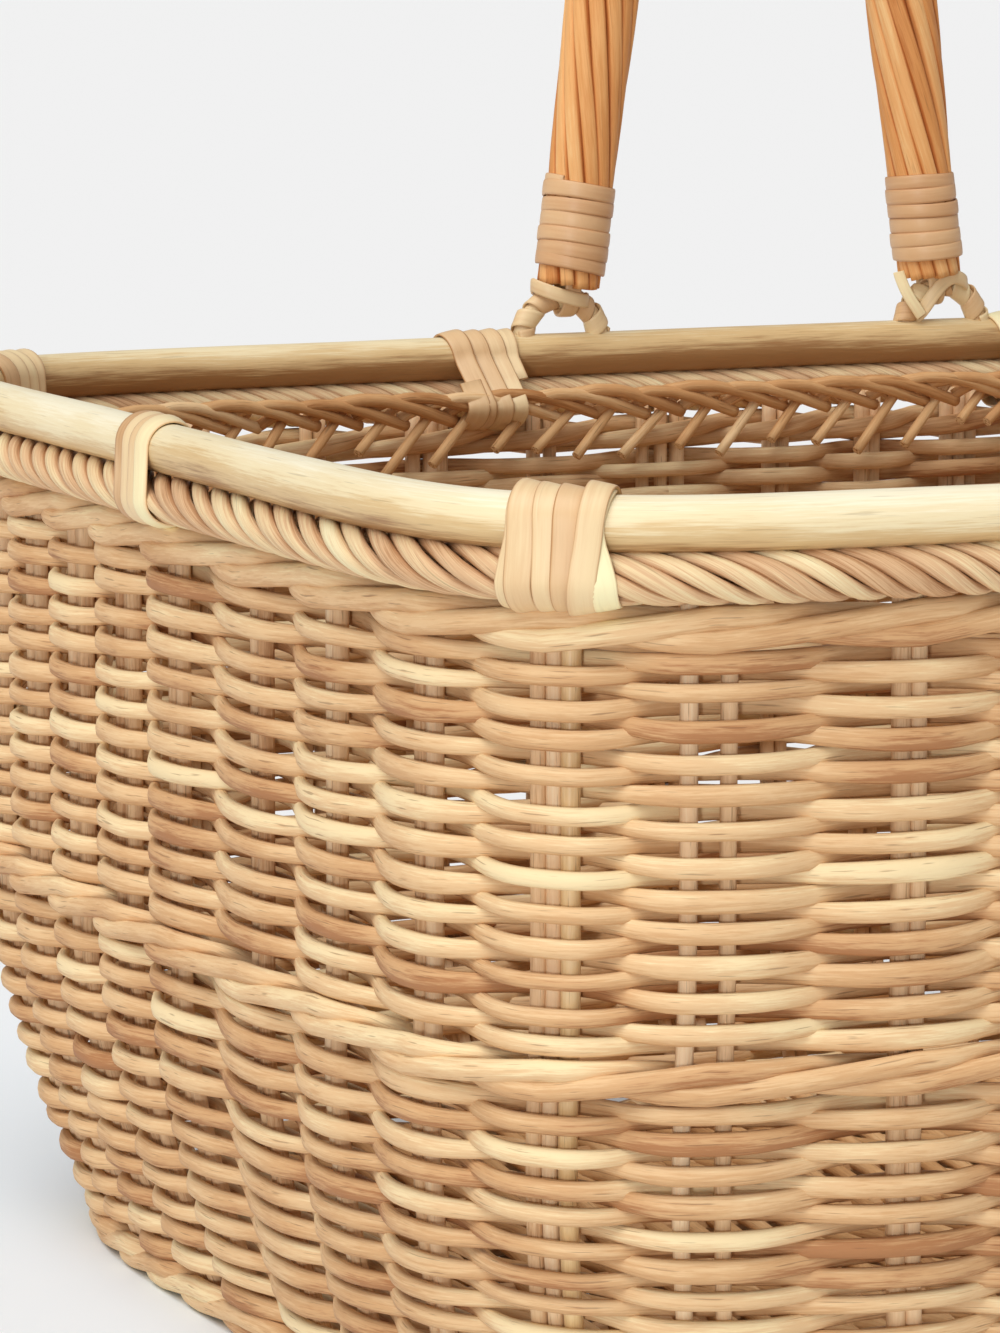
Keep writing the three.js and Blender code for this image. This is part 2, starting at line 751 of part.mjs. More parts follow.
const lashingEdge = (face, step) => lashingPoint(0, (face * caneWidth) / 2, clearance, step);
const wrapEdge = (face, step) => wrapPoint(1, 0, (face * wrapWidth) / 2, 0, step);
console.log("least gap between turns of a lashing", leastGap(lashingTurns, lashingSides, lashingEdge).toFixed(2));
console.log("least gap between turns of a wrap", leastGap(wrapTurns, wrapSides, wrapEdge).toFixed(2));

export default basket;
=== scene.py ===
import bpy
import numpy as np
from mathutils import Matrix


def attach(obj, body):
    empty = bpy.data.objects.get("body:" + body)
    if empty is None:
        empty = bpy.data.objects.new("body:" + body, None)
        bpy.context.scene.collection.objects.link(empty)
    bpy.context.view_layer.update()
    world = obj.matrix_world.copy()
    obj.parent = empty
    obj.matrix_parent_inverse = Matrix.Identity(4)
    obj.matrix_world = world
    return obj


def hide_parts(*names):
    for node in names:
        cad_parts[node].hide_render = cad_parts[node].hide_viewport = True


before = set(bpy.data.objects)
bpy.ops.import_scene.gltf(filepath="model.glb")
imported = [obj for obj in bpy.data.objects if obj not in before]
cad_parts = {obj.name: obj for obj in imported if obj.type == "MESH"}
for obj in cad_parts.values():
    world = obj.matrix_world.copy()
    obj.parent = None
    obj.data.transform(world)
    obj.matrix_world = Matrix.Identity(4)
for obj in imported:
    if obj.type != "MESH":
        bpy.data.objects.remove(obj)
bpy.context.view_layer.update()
mm = 0.001
cm = 0.01
upward = np.array([0, 0, 1.0])
random = np.random.default_rng(11)


def addObject(name, data):
    thing = bpy.data.objects.new(name, data)
    bpy.context.scene.collection.objects.link(thing)
    return thing


# Points from their x, y and z, each an array or one number
def stacked(x, y, z):
    return np.stack(np.broadcast_arrays(x, y, z), -1)


def between(first, last, share):
    return first + (last - first) * share


# Camera

camera = {
    "place": (-0.6622, -1.144, 0.3168),
    "forward": (0.40287, 0.90524, -0.13503),
    "right": (0.9136, -0.4066, 0.0),
    "lens": 155.75,
    "nearest": 0.05,
    "farthest": 100,
}


# The camera's three axes are its right, its up (right cross forward) and its back
def addCamera(settings):
    data = bpy.data.cameras.new("camera")
    data.lens = settings["lens"]
    data.clip_start = settings["nearest"]
    data.clip_end = settings["farthest"]
    view = addObject("camera", data)
    right = np.array(settings["right"])
    forward = np.array(settings["forward"])
    up = np.cross(right, forward)
    turned = np.stack([right, up, -forward], 1)
    view.matrix_world = Matrix.Translation(settings["place"]) @ Matrix(turned.tolist()).to_4x4()
    bpy.context.scene.camera = view


addCamera(camera)

# Wall

wall = {
    "rimHalfLength": 232.3 * mm,
    "rimHalfWidth": 185 * mm,
    "rimSquareness": 7.16,
    "rimLevel": 190 * mm,
    "footSquareness": 5,
    "roundingHeight": 108 * mm,
    "drawInHeight": 80 * mm,
    "drawInPower": 1.6,
    "footInset": 19.5 * mm,
    "cornerLean": 4,  # degrees that the uprights beside a corner lean towards the ends
    "leanBearing": 31,
    "leanReach": 17,
}


# How much of the draw-in is reached at a height: ((drawInHeight - z) / drawInHeight) ^ power
def drawnIn(height):
    below = np.clip((wall["drawInHeight"] - height) / wall["drawInHeight"], 0, None)
    return below ** wall["drawInPower"]


# Superellipse (|x| / halfX)^n + (|y| / halfY)^n = 1 met by a ray from the middle at a bearing,
# with n falling towards the foot. Gives the plan point and the plan's unit normal there.
def wallPlan(bearing, height):
    share = np.clip(height / wall["roundingHeight"], 0, 1)
    squareness = between(wall["footSquareness"], wall["rimSquareness"], share)
    inset = wall["footInset"] * drawnIn(height)
    halfX = wall["rimHalfLength"] - inset
    halfY = wall["rimHalfWidth"] - inset
    # beside a corner the bearing turns towards the end, by a bell curve of the bearing
    fold = np.arctan2(np.abs(np.sin(bearing)), np.abs(np.cos(bearing)))
    bell = np.exp(-((np.degrees(fold) - wall["leanBearing"]) / wall["leanReach"]) ** 2)
    lowness = (drawnIn(height) + 1 - share) / 2
    turn = np.sign(np.sin(2 * bearing)) * np.radians(wall["cornerLean"]) * bell * lowness
    cosine = np.cos(bearing - turn)
    sine = np.sin(bearing - turn)
    reach = (np.abs(cosine / halfX) ** squareness + np.abs(sine / halfY) ** squareness) ** (-1 / squareness)
    x = reach * cosine
    y = reach * sine
    normalX = np.sign(x) * np.abs(x / halfX) ** (squareness - 1) / halfX
    normalY = np.sign(y) * np.abs(y / halfY) ** (squareness - 1) / halfY
    size = np.hypot(normalX, normalY)
    return x, y, normalX / size, normalY / size


# Distance along the rim, counter-clockwise from the +X end, summed over short chords
rimBearings = np.linspace(0, 2 * np.pi, 14401)
rimX, rimY = wallPlan(rimBearings, wall["rimLevel"])[:2]
rimDistances = np.concatenate([[0], np.cumsum(np.hypot(np.diff(rimX), np.diff(rimY)))])
rimLength = rimDistances[-1]


def bearingAt(distance):
    laps = np.floor(distance / rimLength)
    return np.interp(distance - laps * rimLength, rimDistances, rimBearings) + 2 * np.pi * laps


def distanceAtX(x):
    quarter = rimBearings <= np.pi / 2
    return np.interp(-x, -rimX[quarter], rimDistances[quarter])


# Lines on the wall: distance along the rim in metres, height and way outward in millimetres. Gives
# their points and the plan's normal at each.
def wallLines(distance, height, outward):
    x, y, normalX, normalY = wallPlan(bearingAt(distance), height * mm)
    points = stacked(x + outward * mm * normalX, y + outward * mm * normalY, height * mm)
    return points, stacked(normalX, normalY, 0)


# Meshes

def unit(vectors):
    return vectors / np.linalg.norm(vectors, axis=-1, keepdims=True)


# Angles of the points round a tube's section
def sideAngles(sides):
    return 2 * np.pi * np.arange(sides) / sides + np.pi


# Unit step along each strand: central difference of its stations
def stepsAlong(centres, closedLength):
    if closedLength:
        return unit(np.roll(centres, -1, -2) - np.roll(centres, 1, -2))
    return unit(np.gradient(centres, axis=-2))


# Tube: round each station the section |a|^power + |b|^power = 1 is laid across the step, a along the
# facing vector and b across it. Arrays are strands x stations, the result strands x stations x sides.
def tubePoints(centres, facing, halfThick, halfWide, sides, closedLength, power):
    step = stepsAlong(centres, closedLength)
    out = unit(facing - np.sum(facing * step, -1, keepdims=True) * step)
    across = np.cross(step, out)
    a, b = np.cos(sideAngles(sides)), np.sin(sideAngles(sides))
    thick = np.broadcast_to(halfThick, step.shape[:-1])[..., None] * np.sign(a) * np.abs(a) ** (2 / power)
    wide = np.broadcast_to(halfWide, step.shape[:-1])[..., None] * np.sign(b) * np.abs(b) ** (2 / power)
    offset = thick[..., None] * out[..., None, :] + wide[..., None] * across[..., None, :]
    return centres[..., None, :] + offset


startReach = 500  # centimetres over which the strands' maps start
capShift = 7  # from a strand's start of u to the middle of its cut ends' map
capShare = 1 / 6  # of the girth, for the half width of a cut end's map


# Grid of strands x stations x sides to one closed mesh. u is the length along a strand and v the way
# round it, both in centimetres, and each strand has its own tint and its own start of u.
def gridMesh(name, points, closedLength, tint, girth):
    strands, stations, sides = points.shape[:3]
    rows = stations if closedLength else stations - 1
    index = np.arange(strands * stations * sides).reshape(strands, stations, sides)
    ahead = np.roll(index, -1, 1)
    loops = (index, np.roll(index, -1, 2), np.roll(ahead, -1, 2), ahead)
    quads = np.stack([loop[:, :rows] for loop in loops], -1)
    middle = points.mean(2)
    hops = np.linalg.norm(np.diff(np.concatenate([middle, middle[:, :1]], 1), axis=1), axis=-1)
    along = np.concatenate([np.zeros((strands, 1)), np.cumsum(hops, 1)], 1) / cm
    start = random.uniform(0, startReach, (strands, 1))
    here, there = (along + start)[:, :rows], (along + start)[:, 1:rows + 1]
    u = np.broadcast_to(np.stack([here, here, there, there], -1)[:, :, None], quads.shape).reshape(-1)
    ring = np.arange(sides) / sides * girth / cm
    ringNext = ring + girth / sides / cm
    v = np.broadcast_to(np.stack([ring, ringNext, ringNext, ring], -1), quads.shape).reshape(-1)
    corners = quads.reshape(-1)
    sizes = np.full(quads[..., 0].size, 4)
    cut = np.zeros(sizes.size)
    if not closedLength:
        caps = np.concatenate([index[:, 0, ::-1], index[:, -1]], 0)
        angle = np.broadcast_to(2 * np.pi * np.arange(sides) / sides, caps.shape)
        half = girth * capShare / cm
        capU = half * np.cos(angle) + np.concatenate([start, start]) + capShift
        corners = np.concatenate([corners, caps.reshape(-1)])
        u = np.concatenate([u, capU.reshape(-1)])
        v = np.concatenate([v, half * np.sin(angle).reshape(-1)])
        sizes = np.concatenate([sizes, np.full(2 * strands, sides)])
        cut = np.concatenate([cut, np.ones(2 * strands)])
    # six times the volume, from the quads: turned round where it comes out negative
    flat = points.reshape(-1, 3)
    a, b, c, d = (flat[quads[..., side].reshape(-1)] for side in range(4))
    volume = np.sum(np.cross(b - a, c - a) * a) + np.sum(np.cross(c - a, d - a) * a)
    starts = np.concatenate([[0], np.cumsum(sizes)[:-1]])
    if volume < 0:
        owner = np.repeat(np.arange(sizes.size), sizes)
        place = np.arange(corners.size) - starts[owner]
        mirrored = starts[owner] + sizes[owner] - 1 - place
        corners, u, v = corners[mirrored], u[mirrored], v[mirrored]
    mesh = bpy.data.meshes.new(name)
    mesh.vertices.add(flat.shape[0])
    mesh.vertices.foreach_set("co", flat.astype(np.float32).ravel())
    mesh.loops.add(corners.size)
    mesh.loops.foreach_set("vertex_index", corners.astype(np.int32))
    mesh.polygons.add(sizes.size)
    mesh.polygons.foreach_set("loop_start", starts.astype(np.int32))
    mesh.polygons.foreach_set("use_smooth", cut == 0)
    mesh.update(calc_edges=True)
    layer = mesh.uv_layers.new(name="UVMap")
    layer.uv.foreach_set("vector", np.stack([u, v], -1).astype(np.float32).ravel())
    tints = np.broadcast_to(tint, points.shape[:3]).astype(np.float32)
    mesh.attributes.new("tint", "FLOAT", "POINT").data.foreach_set("value", tints.ravel())
    mesh.attributes.new("cutFace", "FLOAT", "FACE").data.foreach_set("value", cut.astype(np.float32))
    mesh.validate()
    return mesh


# One mesh of the tubes along lines given in metres. The half sizes and the girth, which is the way
# round the section, are in millimetres. A single line may come without its strand axis.
def tubeMesh(name, centres, facing, halfThick, halfWide, sides, tint, girth, closedLength=False, power=2.0):
    if centres.ndim == 2:
        centres = centres[None]
    points = tubePoints(centres, facing, halfThick * mm, halfWide * mm, sides, closedLength, power)
    return gridMesh(name, points, closedLength, tint, girth * mm)


# The same for round rods, with the girth of the middle radius
def rodMesh(name, centres, facing, radius, sides, tint, middleRadius, closedLength=False, power=2.0):
    girth = 2 * np.pi * middleRadius
    return tubeMesh(name, centres, facing, radius, radius, sides, tint, girth, closedLength, power)


flatSides = 12
flatPower = 3.2
woundPower = 3.4
# depth of the painted shade along a wound strip's edges
woundEdgeShade = 0.45


# The same for flat cane, with twice a width as its girth
def flatMesh(name, centres, facing, thickness, halfWide, width, tint, closedLength=False):
    sizes = (thickness / 2, halfWide, flatSides)
    return tubeMesh(name, centres, facing, *sizes, tint, 2 * width, closedLength, flatPower)


# The same for flat cane wound round something, with painted shade along its edges where the turns meet
def woundMesh(name, centres, facing, thickness, halfWide, width, tint, sides):
    sizes = (thickness / 2, halfWide, sides)
    tint = withPaintedEdgeShade(tint, sides, woundEdgeShade)
    return tubeMesh(name, centres, facing, *sizes, tint, 2 * width, power=woundPower)


# Tints round a section: darker underneath, painted shade where the light from above does not reach
def withPaintedUndersideShade(tint, sides, depth):
    return tint[..., None] - depth * np.sin(sideAngles(sides))


# Tints round a flat strip's section: darker along both edges, painted shade where strips meet
def withPaintedEdgeShade(tint, sides, depth):
    return tint[..., None] - depth * np.abs(np.sin(sideAngles(sides))) ** 8


# One piece of the basket, which rides on a body and may stand for nodes of the frame
def addPiece(mesh, material, body, nodes=()):
    piece = addObject(mesh.name, mesh)
    mesh.materials.append(material)
    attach(piece, body)
    if nodes:
        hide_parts(*nodes)
    print("made", mesh.name, len(mesh.polygons), "faces")


# Cane

# Colours from dark to light, in sRGB out of 255
caneColours = {
    "weaver": ((174, 120, 77), (210, 165, 117), (226, 188, 141), (241, 217, 170)),
    # stick and post: paler than the weaver, painted light that lifts the uprights out of the shade between
    # the rows
    "stick": ((200, 154, 110), (234, 198, 154), (244, 210, 168), (251, 226, 188)),
    "post": ((200, 160, 106), (228, 192, 138), (240, 208, 154), (248, 224, 178)),
    "border": ((186, 138, 96), (216, 176, 134), (230, 202, 156), (242, 228, 184)),
    # plait: darker than the weaver, painted shade of the basket's inside
    "plait": ((172, 116, 66), (202, 150, 98), (216, 170, 118), (234, 198, 150)),
    "pole": ((164, 121, 75), (218, 186, 134), (238, 220, 178), (248, 238, 208)),
    "binding": ((184, 134, 86), (221, 184, 138), (233, 206, 160), (245, 234, 186)),
    "winding": ((178, 126, 82), (211, 164, 118), (222, 181, 135), (236, 205, 162)),
    "handle": ((192, 116, 58), (221, 154, 90), (235, 175, 111), (245, 204, 144)),
    "base": ((170, 122, 78), (196, 150, 100), (210, 166, 116), (226, 188, 140)),
}


def linear(colour):
    share = np.array(colour) / 255
    return [float(x) for x in ((share + 0.055) / 1.055) ** 2.4] + [1.0]


# Sets a node's inputs by name or number: a socket is linked, any other value is stored
def setInputs(tree, node, inputs):
    for key, value in inputs.items():
        if isinstance(value, bpy.types.NodeSocket):
            tree.links.new(value, node.inputs[key])
        else:
            node.inputs[key].default_value = value


# New node of a kind, with its settings first, because they decide which inputs it has
def addNode(tree, kind, inputs=None, **settings):
    node = tree.nodes.new("ShaderNode" + kind)
    for key, value in settings.items():
        setattr(node, key, value)
    setInputs(tree, node, inputs or {})
    return node


def newMaterial(name):
    material = bpy.data.materials.new(name)
    material.use_nodes = True
    return material, material.node_tree, material.node_tree.nodes["Principled BSDF"]


# Colour ramp through the stops, each a place and an sRGB colour
def colourRamp(tree, level, stops, interpolation="LINEAR"):
    node = addNode(tree, "ValToRGB", {"Fac": level})
    ramp = node.color_ramp
    ramp.interpolation = interpolation
    ramp.elements[0].position = stops[0][0]
    ramp.elements[1].position = stops[-1][0]
    for place, colour in stops[1:-1]:
        ramp.elements.new(place)
    for element, (place, colour) in zip(ramp.elements, stops):
        element.color = linear(colour)
    return node.outputs["Color"]


def mixColours(tree, share, first, second):
    inputs = {"Factor": share, "A": first, "B": second}
    return addNode(tree, "Mix", inputs, data_type="RGBA").outputs["Result"]


caneStops = (0.05, 0.38, 0.64, 0.98)  # where a cane's four colours stand on its ramp
cutEndStops = ((0.34, (176, 120, 72)), (0.56, (238, 204, 156)))  # cut ends are pale, with dark pores
poreSize = 14  # noise cells per centimetre on a cut end
fleckRange = (0.30, 0.36)  # noise under the first is a full fleck, over the second none
fleckShade = 0.72
fineLines = {"length": 2.3, "round": 2.6, "strength": 0.6}  # against the grain's own lines
dull = {"roughness": 0.62, "specular": 0.3, "coat": 0.0}
satin = {"roughness": 0.45, "specular": 0.4, "coat": 0.05}
skin = {"roughness": 0.28, "specular": 0.5, "coat": 0.3}
grains = {
    "round": {"length": 0.8, "round": 12.0, "strength": 0.85, "fleck": 0.5},
    "border": {"length": 0.5, "round": 15.0, "strength": 1.1, "fleck": 0.4},
    "pole": {"length": 0.5, "round": 11.0, "strength": 0.6, "fleck": 0.25},
    "flat": {"length": 0.3, "round": 9.0, "strength": 0.4, "fleck": 0.1},
    "handle": {"length": 0.5, "round": 12.0, "strength": 0.7, "fleck": 0.35},
}
patches = {
    "round": {"length": 0.22, "round": 0.2, "strength": 1.0},
    "pole": {"length": 0.16, "round": 0.35, "strength": 0.8},
    "flat": {"length": 0.3, "round": 0.3, "strength": 0.6},
    "handle": {"length": 0.2, "round": 0.3, "strength": 0.7},
}


# Cane by its own length: u runs along a strand and v round it, in centimetres. Its colour is a ramp of
# the strand's tint, slow patches along it, fine lines of grain and dark flecks.
def caneMaterial(name, grain, patch, gloss, bumpHeight):
    colours, grain, patch = caneColours[name], grains[grain], patches[patch]
    material, tree, shader = newMaterial(name + "_cane")
    finish = {"Roughness": gloss["roughness"], "Specular IOR Level": gloss["specular"]}
    finish.update({"Coat Weight": gloss["coat"], "Coat Roughness": 0.35, "Subsurface Weight": 0.0})
    setInputs(tree, shader, finish)
    uv = addNode(tree, "UVMap", uv_map="UVMap").outputs["UV"]
    tint = addNode(tree, "Attribute", attribute_name="tint").outputs["Fac"]
    cutFace = addNode(tree, "Attribute", attribute_name="cutFace").outputs["Fac"]

    def noise(scaleU, scaleV, detail, roughness=0.5):
        mapping = addNode(tree, "Mapping", {"Vector": uv, "Scale": (scaleU, scaleV, 1)})
        inputs = {"Vector": mapping.outputs["Vector"], "Scale": 1.0, "Detail": detail, "Roughness": roughness}
        return addNode(tree, "TexNoise", inputs).outputs["Fac"]

    def combined(operation, *values):
        return addNode(tree, "Math", dict(enumerate(values)), operation=operation).outputs[0]

    # noise about 0 in the middle, by its strength
    def swung(level, strength):
        return combined("MULTIPLY_ADD", level, strength, -0.5 * strength)

    slow = noise(patch["length"], patch["round"], 2)
    lines = noise(grain["length"], grain["round"], 4, 0.6)
    fine = noise(grain["length"] * fineLines["length"], grain["round"] * fineLines["round"], 3, 0.65)
    flecks = noise(grain["length"], grain["round"] * 1.25, 2)
    patched = combined("ADD", tint, swung(slow, patch["strength"]))
    fined = swung(fine, grain["strength"] * fineLines["strength"])
    level = combined("ADD", patched, combined("ADD", swung(lines, grain["strength"]), fined))
    body = colourRamp(tree, level, tuple(zip(caneStops, colours)), "EASE")

    # brown lines where the flecks' noise is low
    inputs = {"Value": flecks, "From Min": fleckRange[0], "From Max": fleckRange[1]}
    inputs.update({"To Min": grain["fleck"], "To Max": 0.0})
    fleck = addNode(tree, "MapRange", inputs).outputs["Result"]
    brown = linear(tuple(int(c * fleckShade) for c in colours[0]))
    flecked = mixColours(tree, fleck, body, brown)
    cutEnd = colourRamp(tree, noise(poreSize, poreSize, 2), cutEndStops)
    height = combined("ADD", lines, combined("MULTIPLY", fine, fineLines["strength"]))
    bump = addNode(tree, "Bump", {"Height": height, "Strength": 0.6, "Distance": bumpHeight})
    surface = mixColours(tree, cutFace, flecked, cutEnd)
    setInputs(tree, shader, {"Base Color": surface, "Normal": bump.outputs["Normal"]})
    return material


weaverCane = caneMaterial("weaver", "round", "round", dull, 0.0002)
stickCaneWithPaintedLight = caneMaterial("stick", "round", "round", dull, 0.0002)
borderCane = caneMaterial("border", "border", "round", dull, 0.0003)
plaitCaneWithPaintedShade = caneMaterial("plait", "round", "round", dull, 0.0002)
postCaneWithPaintedLight = caneMaterial("post", "round", "round", skin, 0.00005)
poleCane = caneMaterial("pole", "pole", "pole", satin, 0.00015)
bindingCane = caneMaterial("binding", "flat", "flat", satin, 0.00008)
windingCane = caneMaterial("winding", "flat", "flat", satin, 0.00008)
handleCane = caneMaterial("handle", "handle", "handle", dull, 0.0002)
baseCane = caneMaterial("base", "round", "round", dull, 0.0002)


# Cane for pieces of the frame that have no map along their length: grain drawn out along X
def solidCaneMaterial(name, dark, light):
    material, tree, shader = newMaterial(name)
    place = addNode(tree, "TexCoord").outputs["Object"]
    grain = addNode(tree, "Mapping", {"Vector": place, "Scale": (40, 900, 900)}).outputs["Vector"]
    level = addNode(tree, "TexNoise", {"Vector": grain, "Scale": 1.0, "Detail": 4}).outputs["Fac"]
    colour = colourRamp(tree, level, ((0.3, dark), (0.7, light)))
    bump = addNode(tree, "Bump", {"Height": level, "Strength": 0.5, "Distance": 0.0002})
    inputs = {"Roughness": dull["roughness"], "Base Color": colour, "Normal": bump.outputs["Normal"]}
    setInputs(tree, shader, inputs)
    return material


solidCane = solidCaneMaterial("base_stick_cane", caneColours["base"][0], caneColours["base"][2])

# Uprights

uprights = {
    # gaps between neighbouring groups along the rim, from the near left corner post on
    "sideGaps": (33, 41.6, 34, 34, 34, 33, 33, 33, 33, 33, 33, 31, 33.5),
    "rightGaps": (34, 33, 33, 34, 33, 32, 33, 33.4, 33, 33.2),
    "farGaps": (31.5, 31, 33, 32, 33, 26, 26, 33, 33, 31, 31, 31, 31, 31),
    "leftGaps": (41, 30, 30, 30, 32, 48, 40, 42, 38),
    "nearLeftPost": 940,
    "stickRadius": 1.7,
    "stickSpacing": 3.5,
    "depth": -6,
    "bottom": 4,
    "top": 186,
    "stations": 34,
    "sides": 10,
    "squareness": 2.9,
    "counts": (2, 2, 3),  # sticks in a group, drawn at random
    "extraSpacings": (0, 0, 0, 1.2),
    "sway": 0.25,
    "swayKnots": 4,
    "middleBack": -0.8,  # the middle one of three sticks stands back
    # at a corner two sticks stand to the left and the round post to the right of the group's middle
    "cornerSticks": -1.9,
    "post": 4.2,
    "postSway": 0.3,
    "postWave": 30,
    "postRadius": 1.95,
    "postSides": 14,
    "cornerHalf": 5.8,
}

gapList = uprights["sideGaps"] + uprights["rightGaps"] + uprights["farGaps"] + uprights["leftGaps"]
gapWidths = np.array(gapList) * mm
gapWidths = gapWidths * rimLength / gapWidths.sum()
groupCount = len(gapWidths)
groupAt = uprights["nearLeftPost"] * mm + np.concatenate([[0], np.cumsum(gapWidths)[:-1]])
groupSticks = random.choice(uprights["counts"], groupCount)
groupSpacing = uprights["stickSpacing"] + random.choice(uprights["extraSpacings"], groupCount)
# the two groups to the right of the near left post: two sticks well apart, then two that touch
groupSticks[[1, 2]] = 2
groupSpacing[[1, 2]] = (8.3, 3.5)

# the groups nearest to the four corners, each as far from an end's middle as the near left post
halfLap = rimLength / 2
cornerReach = uprights["nearLeftPost"] * mm - halfLap
cornerAt = np.array([cornerReach, halfLap - cornerReach, halfLap + cornerReach, rimLength - cornerReach])
apart = (groupAt[None] - cornerAt[:, None] + halfLap) % rimLength - halfLap
cornerGroups = np.abs(apart).argmin(1)
groupSticks[cornerGroups] = 2
groupSpacing[cornerGroups] = uprights["stickSpacing"]
groupShift = np.zeros(groupCount)
groupShift[cornerGroups] = uprights["cornerSticks"] * mm
groupHalf = ((groupSticks - 1) * groupSpacing / 2 + uprights["stickRadius"]) * mm
groupHalf[cornerGroups] = uprights["cornerHalf"] * mm
print("groups of uprights", groupCount, "rim length", round(rimLength, 4), "corner groups", cornerGroups)


# Sticks stand side by side in the middle of the wall, with a slow sway sideways
def makeUprights():
    s = uprights
    group = np.repeat(np.arange(groupCount), groupSticks)
    order = np.concatenate([np.arange(count) - (count - 1) / 2 for count in groupSticks])
    sway = random.normal(0, s["sway"], (len(group), s["swayKnots"]))
    height = np.linspace(s["bottom"], s["top"], s["stations"])
    knots = np.linspace(s["bottom"], s["top"], s["swayKnots"])
    slow = np.stack([np.interp(height, knots, row) for row in sway])
    distance = (groupAt + groupShift)[group][:, None] + ((order * groupSpacing[group])[:, None] + slow) * mm
    back = np.where((order == 0) & (groupSticks[group] == 3), s["middleBack"], 0)
    outward = (s["depth"] + back + random.normal(0, 0.2, len(group)))[:, None]
    centres, facing = wallLines(distance, height, outward)
    radius = (s["stickRadius"] + random.normal(0, 0.08, len(group)))[:, None]
    tint = random.normal(0.5, 0.16, len(group))[:, None, None]
    size = s["stickRadius"]
    return rodMesh("uprights", centres, facing, radius, s["sides"], tint, size, power=s["squareness"])


# Posts: one round rod with its skin on at each corner
def makePosts():
    s = uprights
    height = np.linspace(s["bottom"], s["top"], s["stations"])
    beside = s["post"] + s["postSway"] * np.sin(height / s["postWave"] + cornerGroups[:, None])
    centres, facing = wallLines(groupAt[cornerGroups][:, None] + beside * mm, height, s["depth"])
    return rodMesh("corner_posts", centres, facing, s["postRadius"], s["postSides"], 0.5, s["postRadius"])


# Weave

weave = {
    "steps": 12,  # stations between neighbouring groups
    "sides": 10,
    "swing": 4.0,  # from the middle of the wall to a weaver's centre in front of a group
    "depth": -6,
    "crestHeight": 2.15,
    "crossHeight": 1.95,
    "crestDepth": 1.6,
    "crossDepth": 1.35,
    # depth of the painted shade on the lower side of each rod
    "underside": 0.2,
    "sag": 0.35,  # the front of a weaver lies lower than its back
    "rowShake": 0.22,
    "crestShake": 0.34,
    "wander": 0.4,
    "hug": 0.6,  # share of a group's half width along which a weaver stays at its crest
    "fuller": 0.1,
    "cornerThickness": 0.86,
    "calmRows": 3,  # rows over which the shakes fade out towards a band's edges
    "squareness": 2.5,
}


# Stations round the wall, and how far a rod has crossed from one group to the next, 0 to 1
def aroundWall(laps=1):
    share = np.arange(weave["steps"]) / weave["steps"]
    gap = gapWidths[:, None]
    half = groupHalf[:, None] * weave["hug"]
    nextHalf = np.roll(half, -1, 0)
    distance = (groupAt[:, None] + gap * share).ravel()
    crossed = np.clip((share * gap - half) / (gap - (half + nextHalf)), 0, 1).ravel()
    lap = np.arange(laps)[:, None] * rimLength
    return (distance + lap).ravel(), np.tile(crossed, laps), np.tile(share, groupCount * laps)


# Value at each group, eased to the next one by half a cosine of the crossing
def easedBetween(values, crossed):
    here = np.repeat(values, weave["steps"], -1)
    ahead = np.repeat(np.roll(values, -1, -1), weave["steps"], -1)
    return between(here, ahead, (1 - np.cos(np.pi * crossed)) / 2)


# Slow waves that a whole band of rows follows: a sum of sines round the rim, growing with the row
def bandWander(distance, row):
    turn = 2 * np.pi * distance / rimLength
    wave = np.sin(3 * turn + 0.4 + 0.15 * row) + 0.8 * np.sin(7 * turn + 2.1 - 0.1 * row)
    return wave + 0.6 * np.sin(13 * turn + 1.2 + 0.2 * row)


# Randing: each row passes in front of every other group, outward = depth + swing * cos(crossing),
# and is thickest over a group. The next row does the opposite.
def addWeave(name, bottom, top, rowCount, node):
    w = weave
    distance, crossed = aroundWall()[:2]
    row = np.arange(rowCount)[:, None]
    front = np.where((row + np.arange(groupCount)) % 2 == 0, 1.0, -1.0)
    swing = easedBetween(front, crossed)
    crest = np.abs(swing) ** 1.3
    shake = random.normal(0, w["crestShake"], (rowCount, groupCount))
    thickness = 1 + w["fuller"] * np.clip(random.normal(0, 1, (rowCount, groupCount)), -1.6, 1.6)
    thickness[:, cornerGroups] *= w["cornerThickness"]
    rowHeight = (top - bottom) / rowCount
    level = bottom + rowHeight * (row + 0.5) + random.normal(0, w["rowShake"], (rowCount, 1))
    ease = np.clip(np.minimum(row, rowCount - 1 - row) / w["calmRows"], 0, 1)
    lift = easedBetween(shake, crossed) - w["sag"] * swing
    height = level + (lift + w["wander"] * bandWander(distance, row)) * ease
    height = np.clip(height, bottom + w["crossHeight"], top - w["crossHeight"])
    centres, facing = wallLines(distance, height, w["depth"] + w["swing"] * swing)
    halfHeight = between(w["crossHeight"], w["crestHeight"], crest) * easedBetween(thickness, crossed) * mm
    halfDepth = between(w["crossDepth"], w["crestDepth"], crest) * mm
    points = tubePoints(centres, facing, halfDepth, halfHeight, w["sides"], True, w["squareness"])
    rowTint = random.normal(0.53, 0.1, (rowCount, 1))
    spot = easedBetween(random.normal(0, 0.17, (rowCount, groupCount)), crossed)
    # each row closes behind a group of its own
    hidden = (2 * random.integers(0, groupCount // 2, (rowCount, 1)) + 1 + row) % groupCount
    order = (np.arange(len(distance)) + hidden * w["steps"]) % len(distance)
    points = np.take_along_axis(points, order[..., None, None], 1)
    # painted shade on the lower side of each rod
    tint = withPaintedUndersideShade(np.take_along_axis(rowTint + spot, order, 1), w["sides"], w["underside"])
    girth = 2 * np.pi * w["crestHeight"] * mm
    half = rowCount // 2
    for part, rows in (("bottom", slice(0, half)), ("top", slice(half, rowCount))):
        mesh = gridMesh(f"{name}_{part}_rows", points[rows], True, tint[rows], girth)
        addPiece(mesh, weaverCane, "basket", [node])


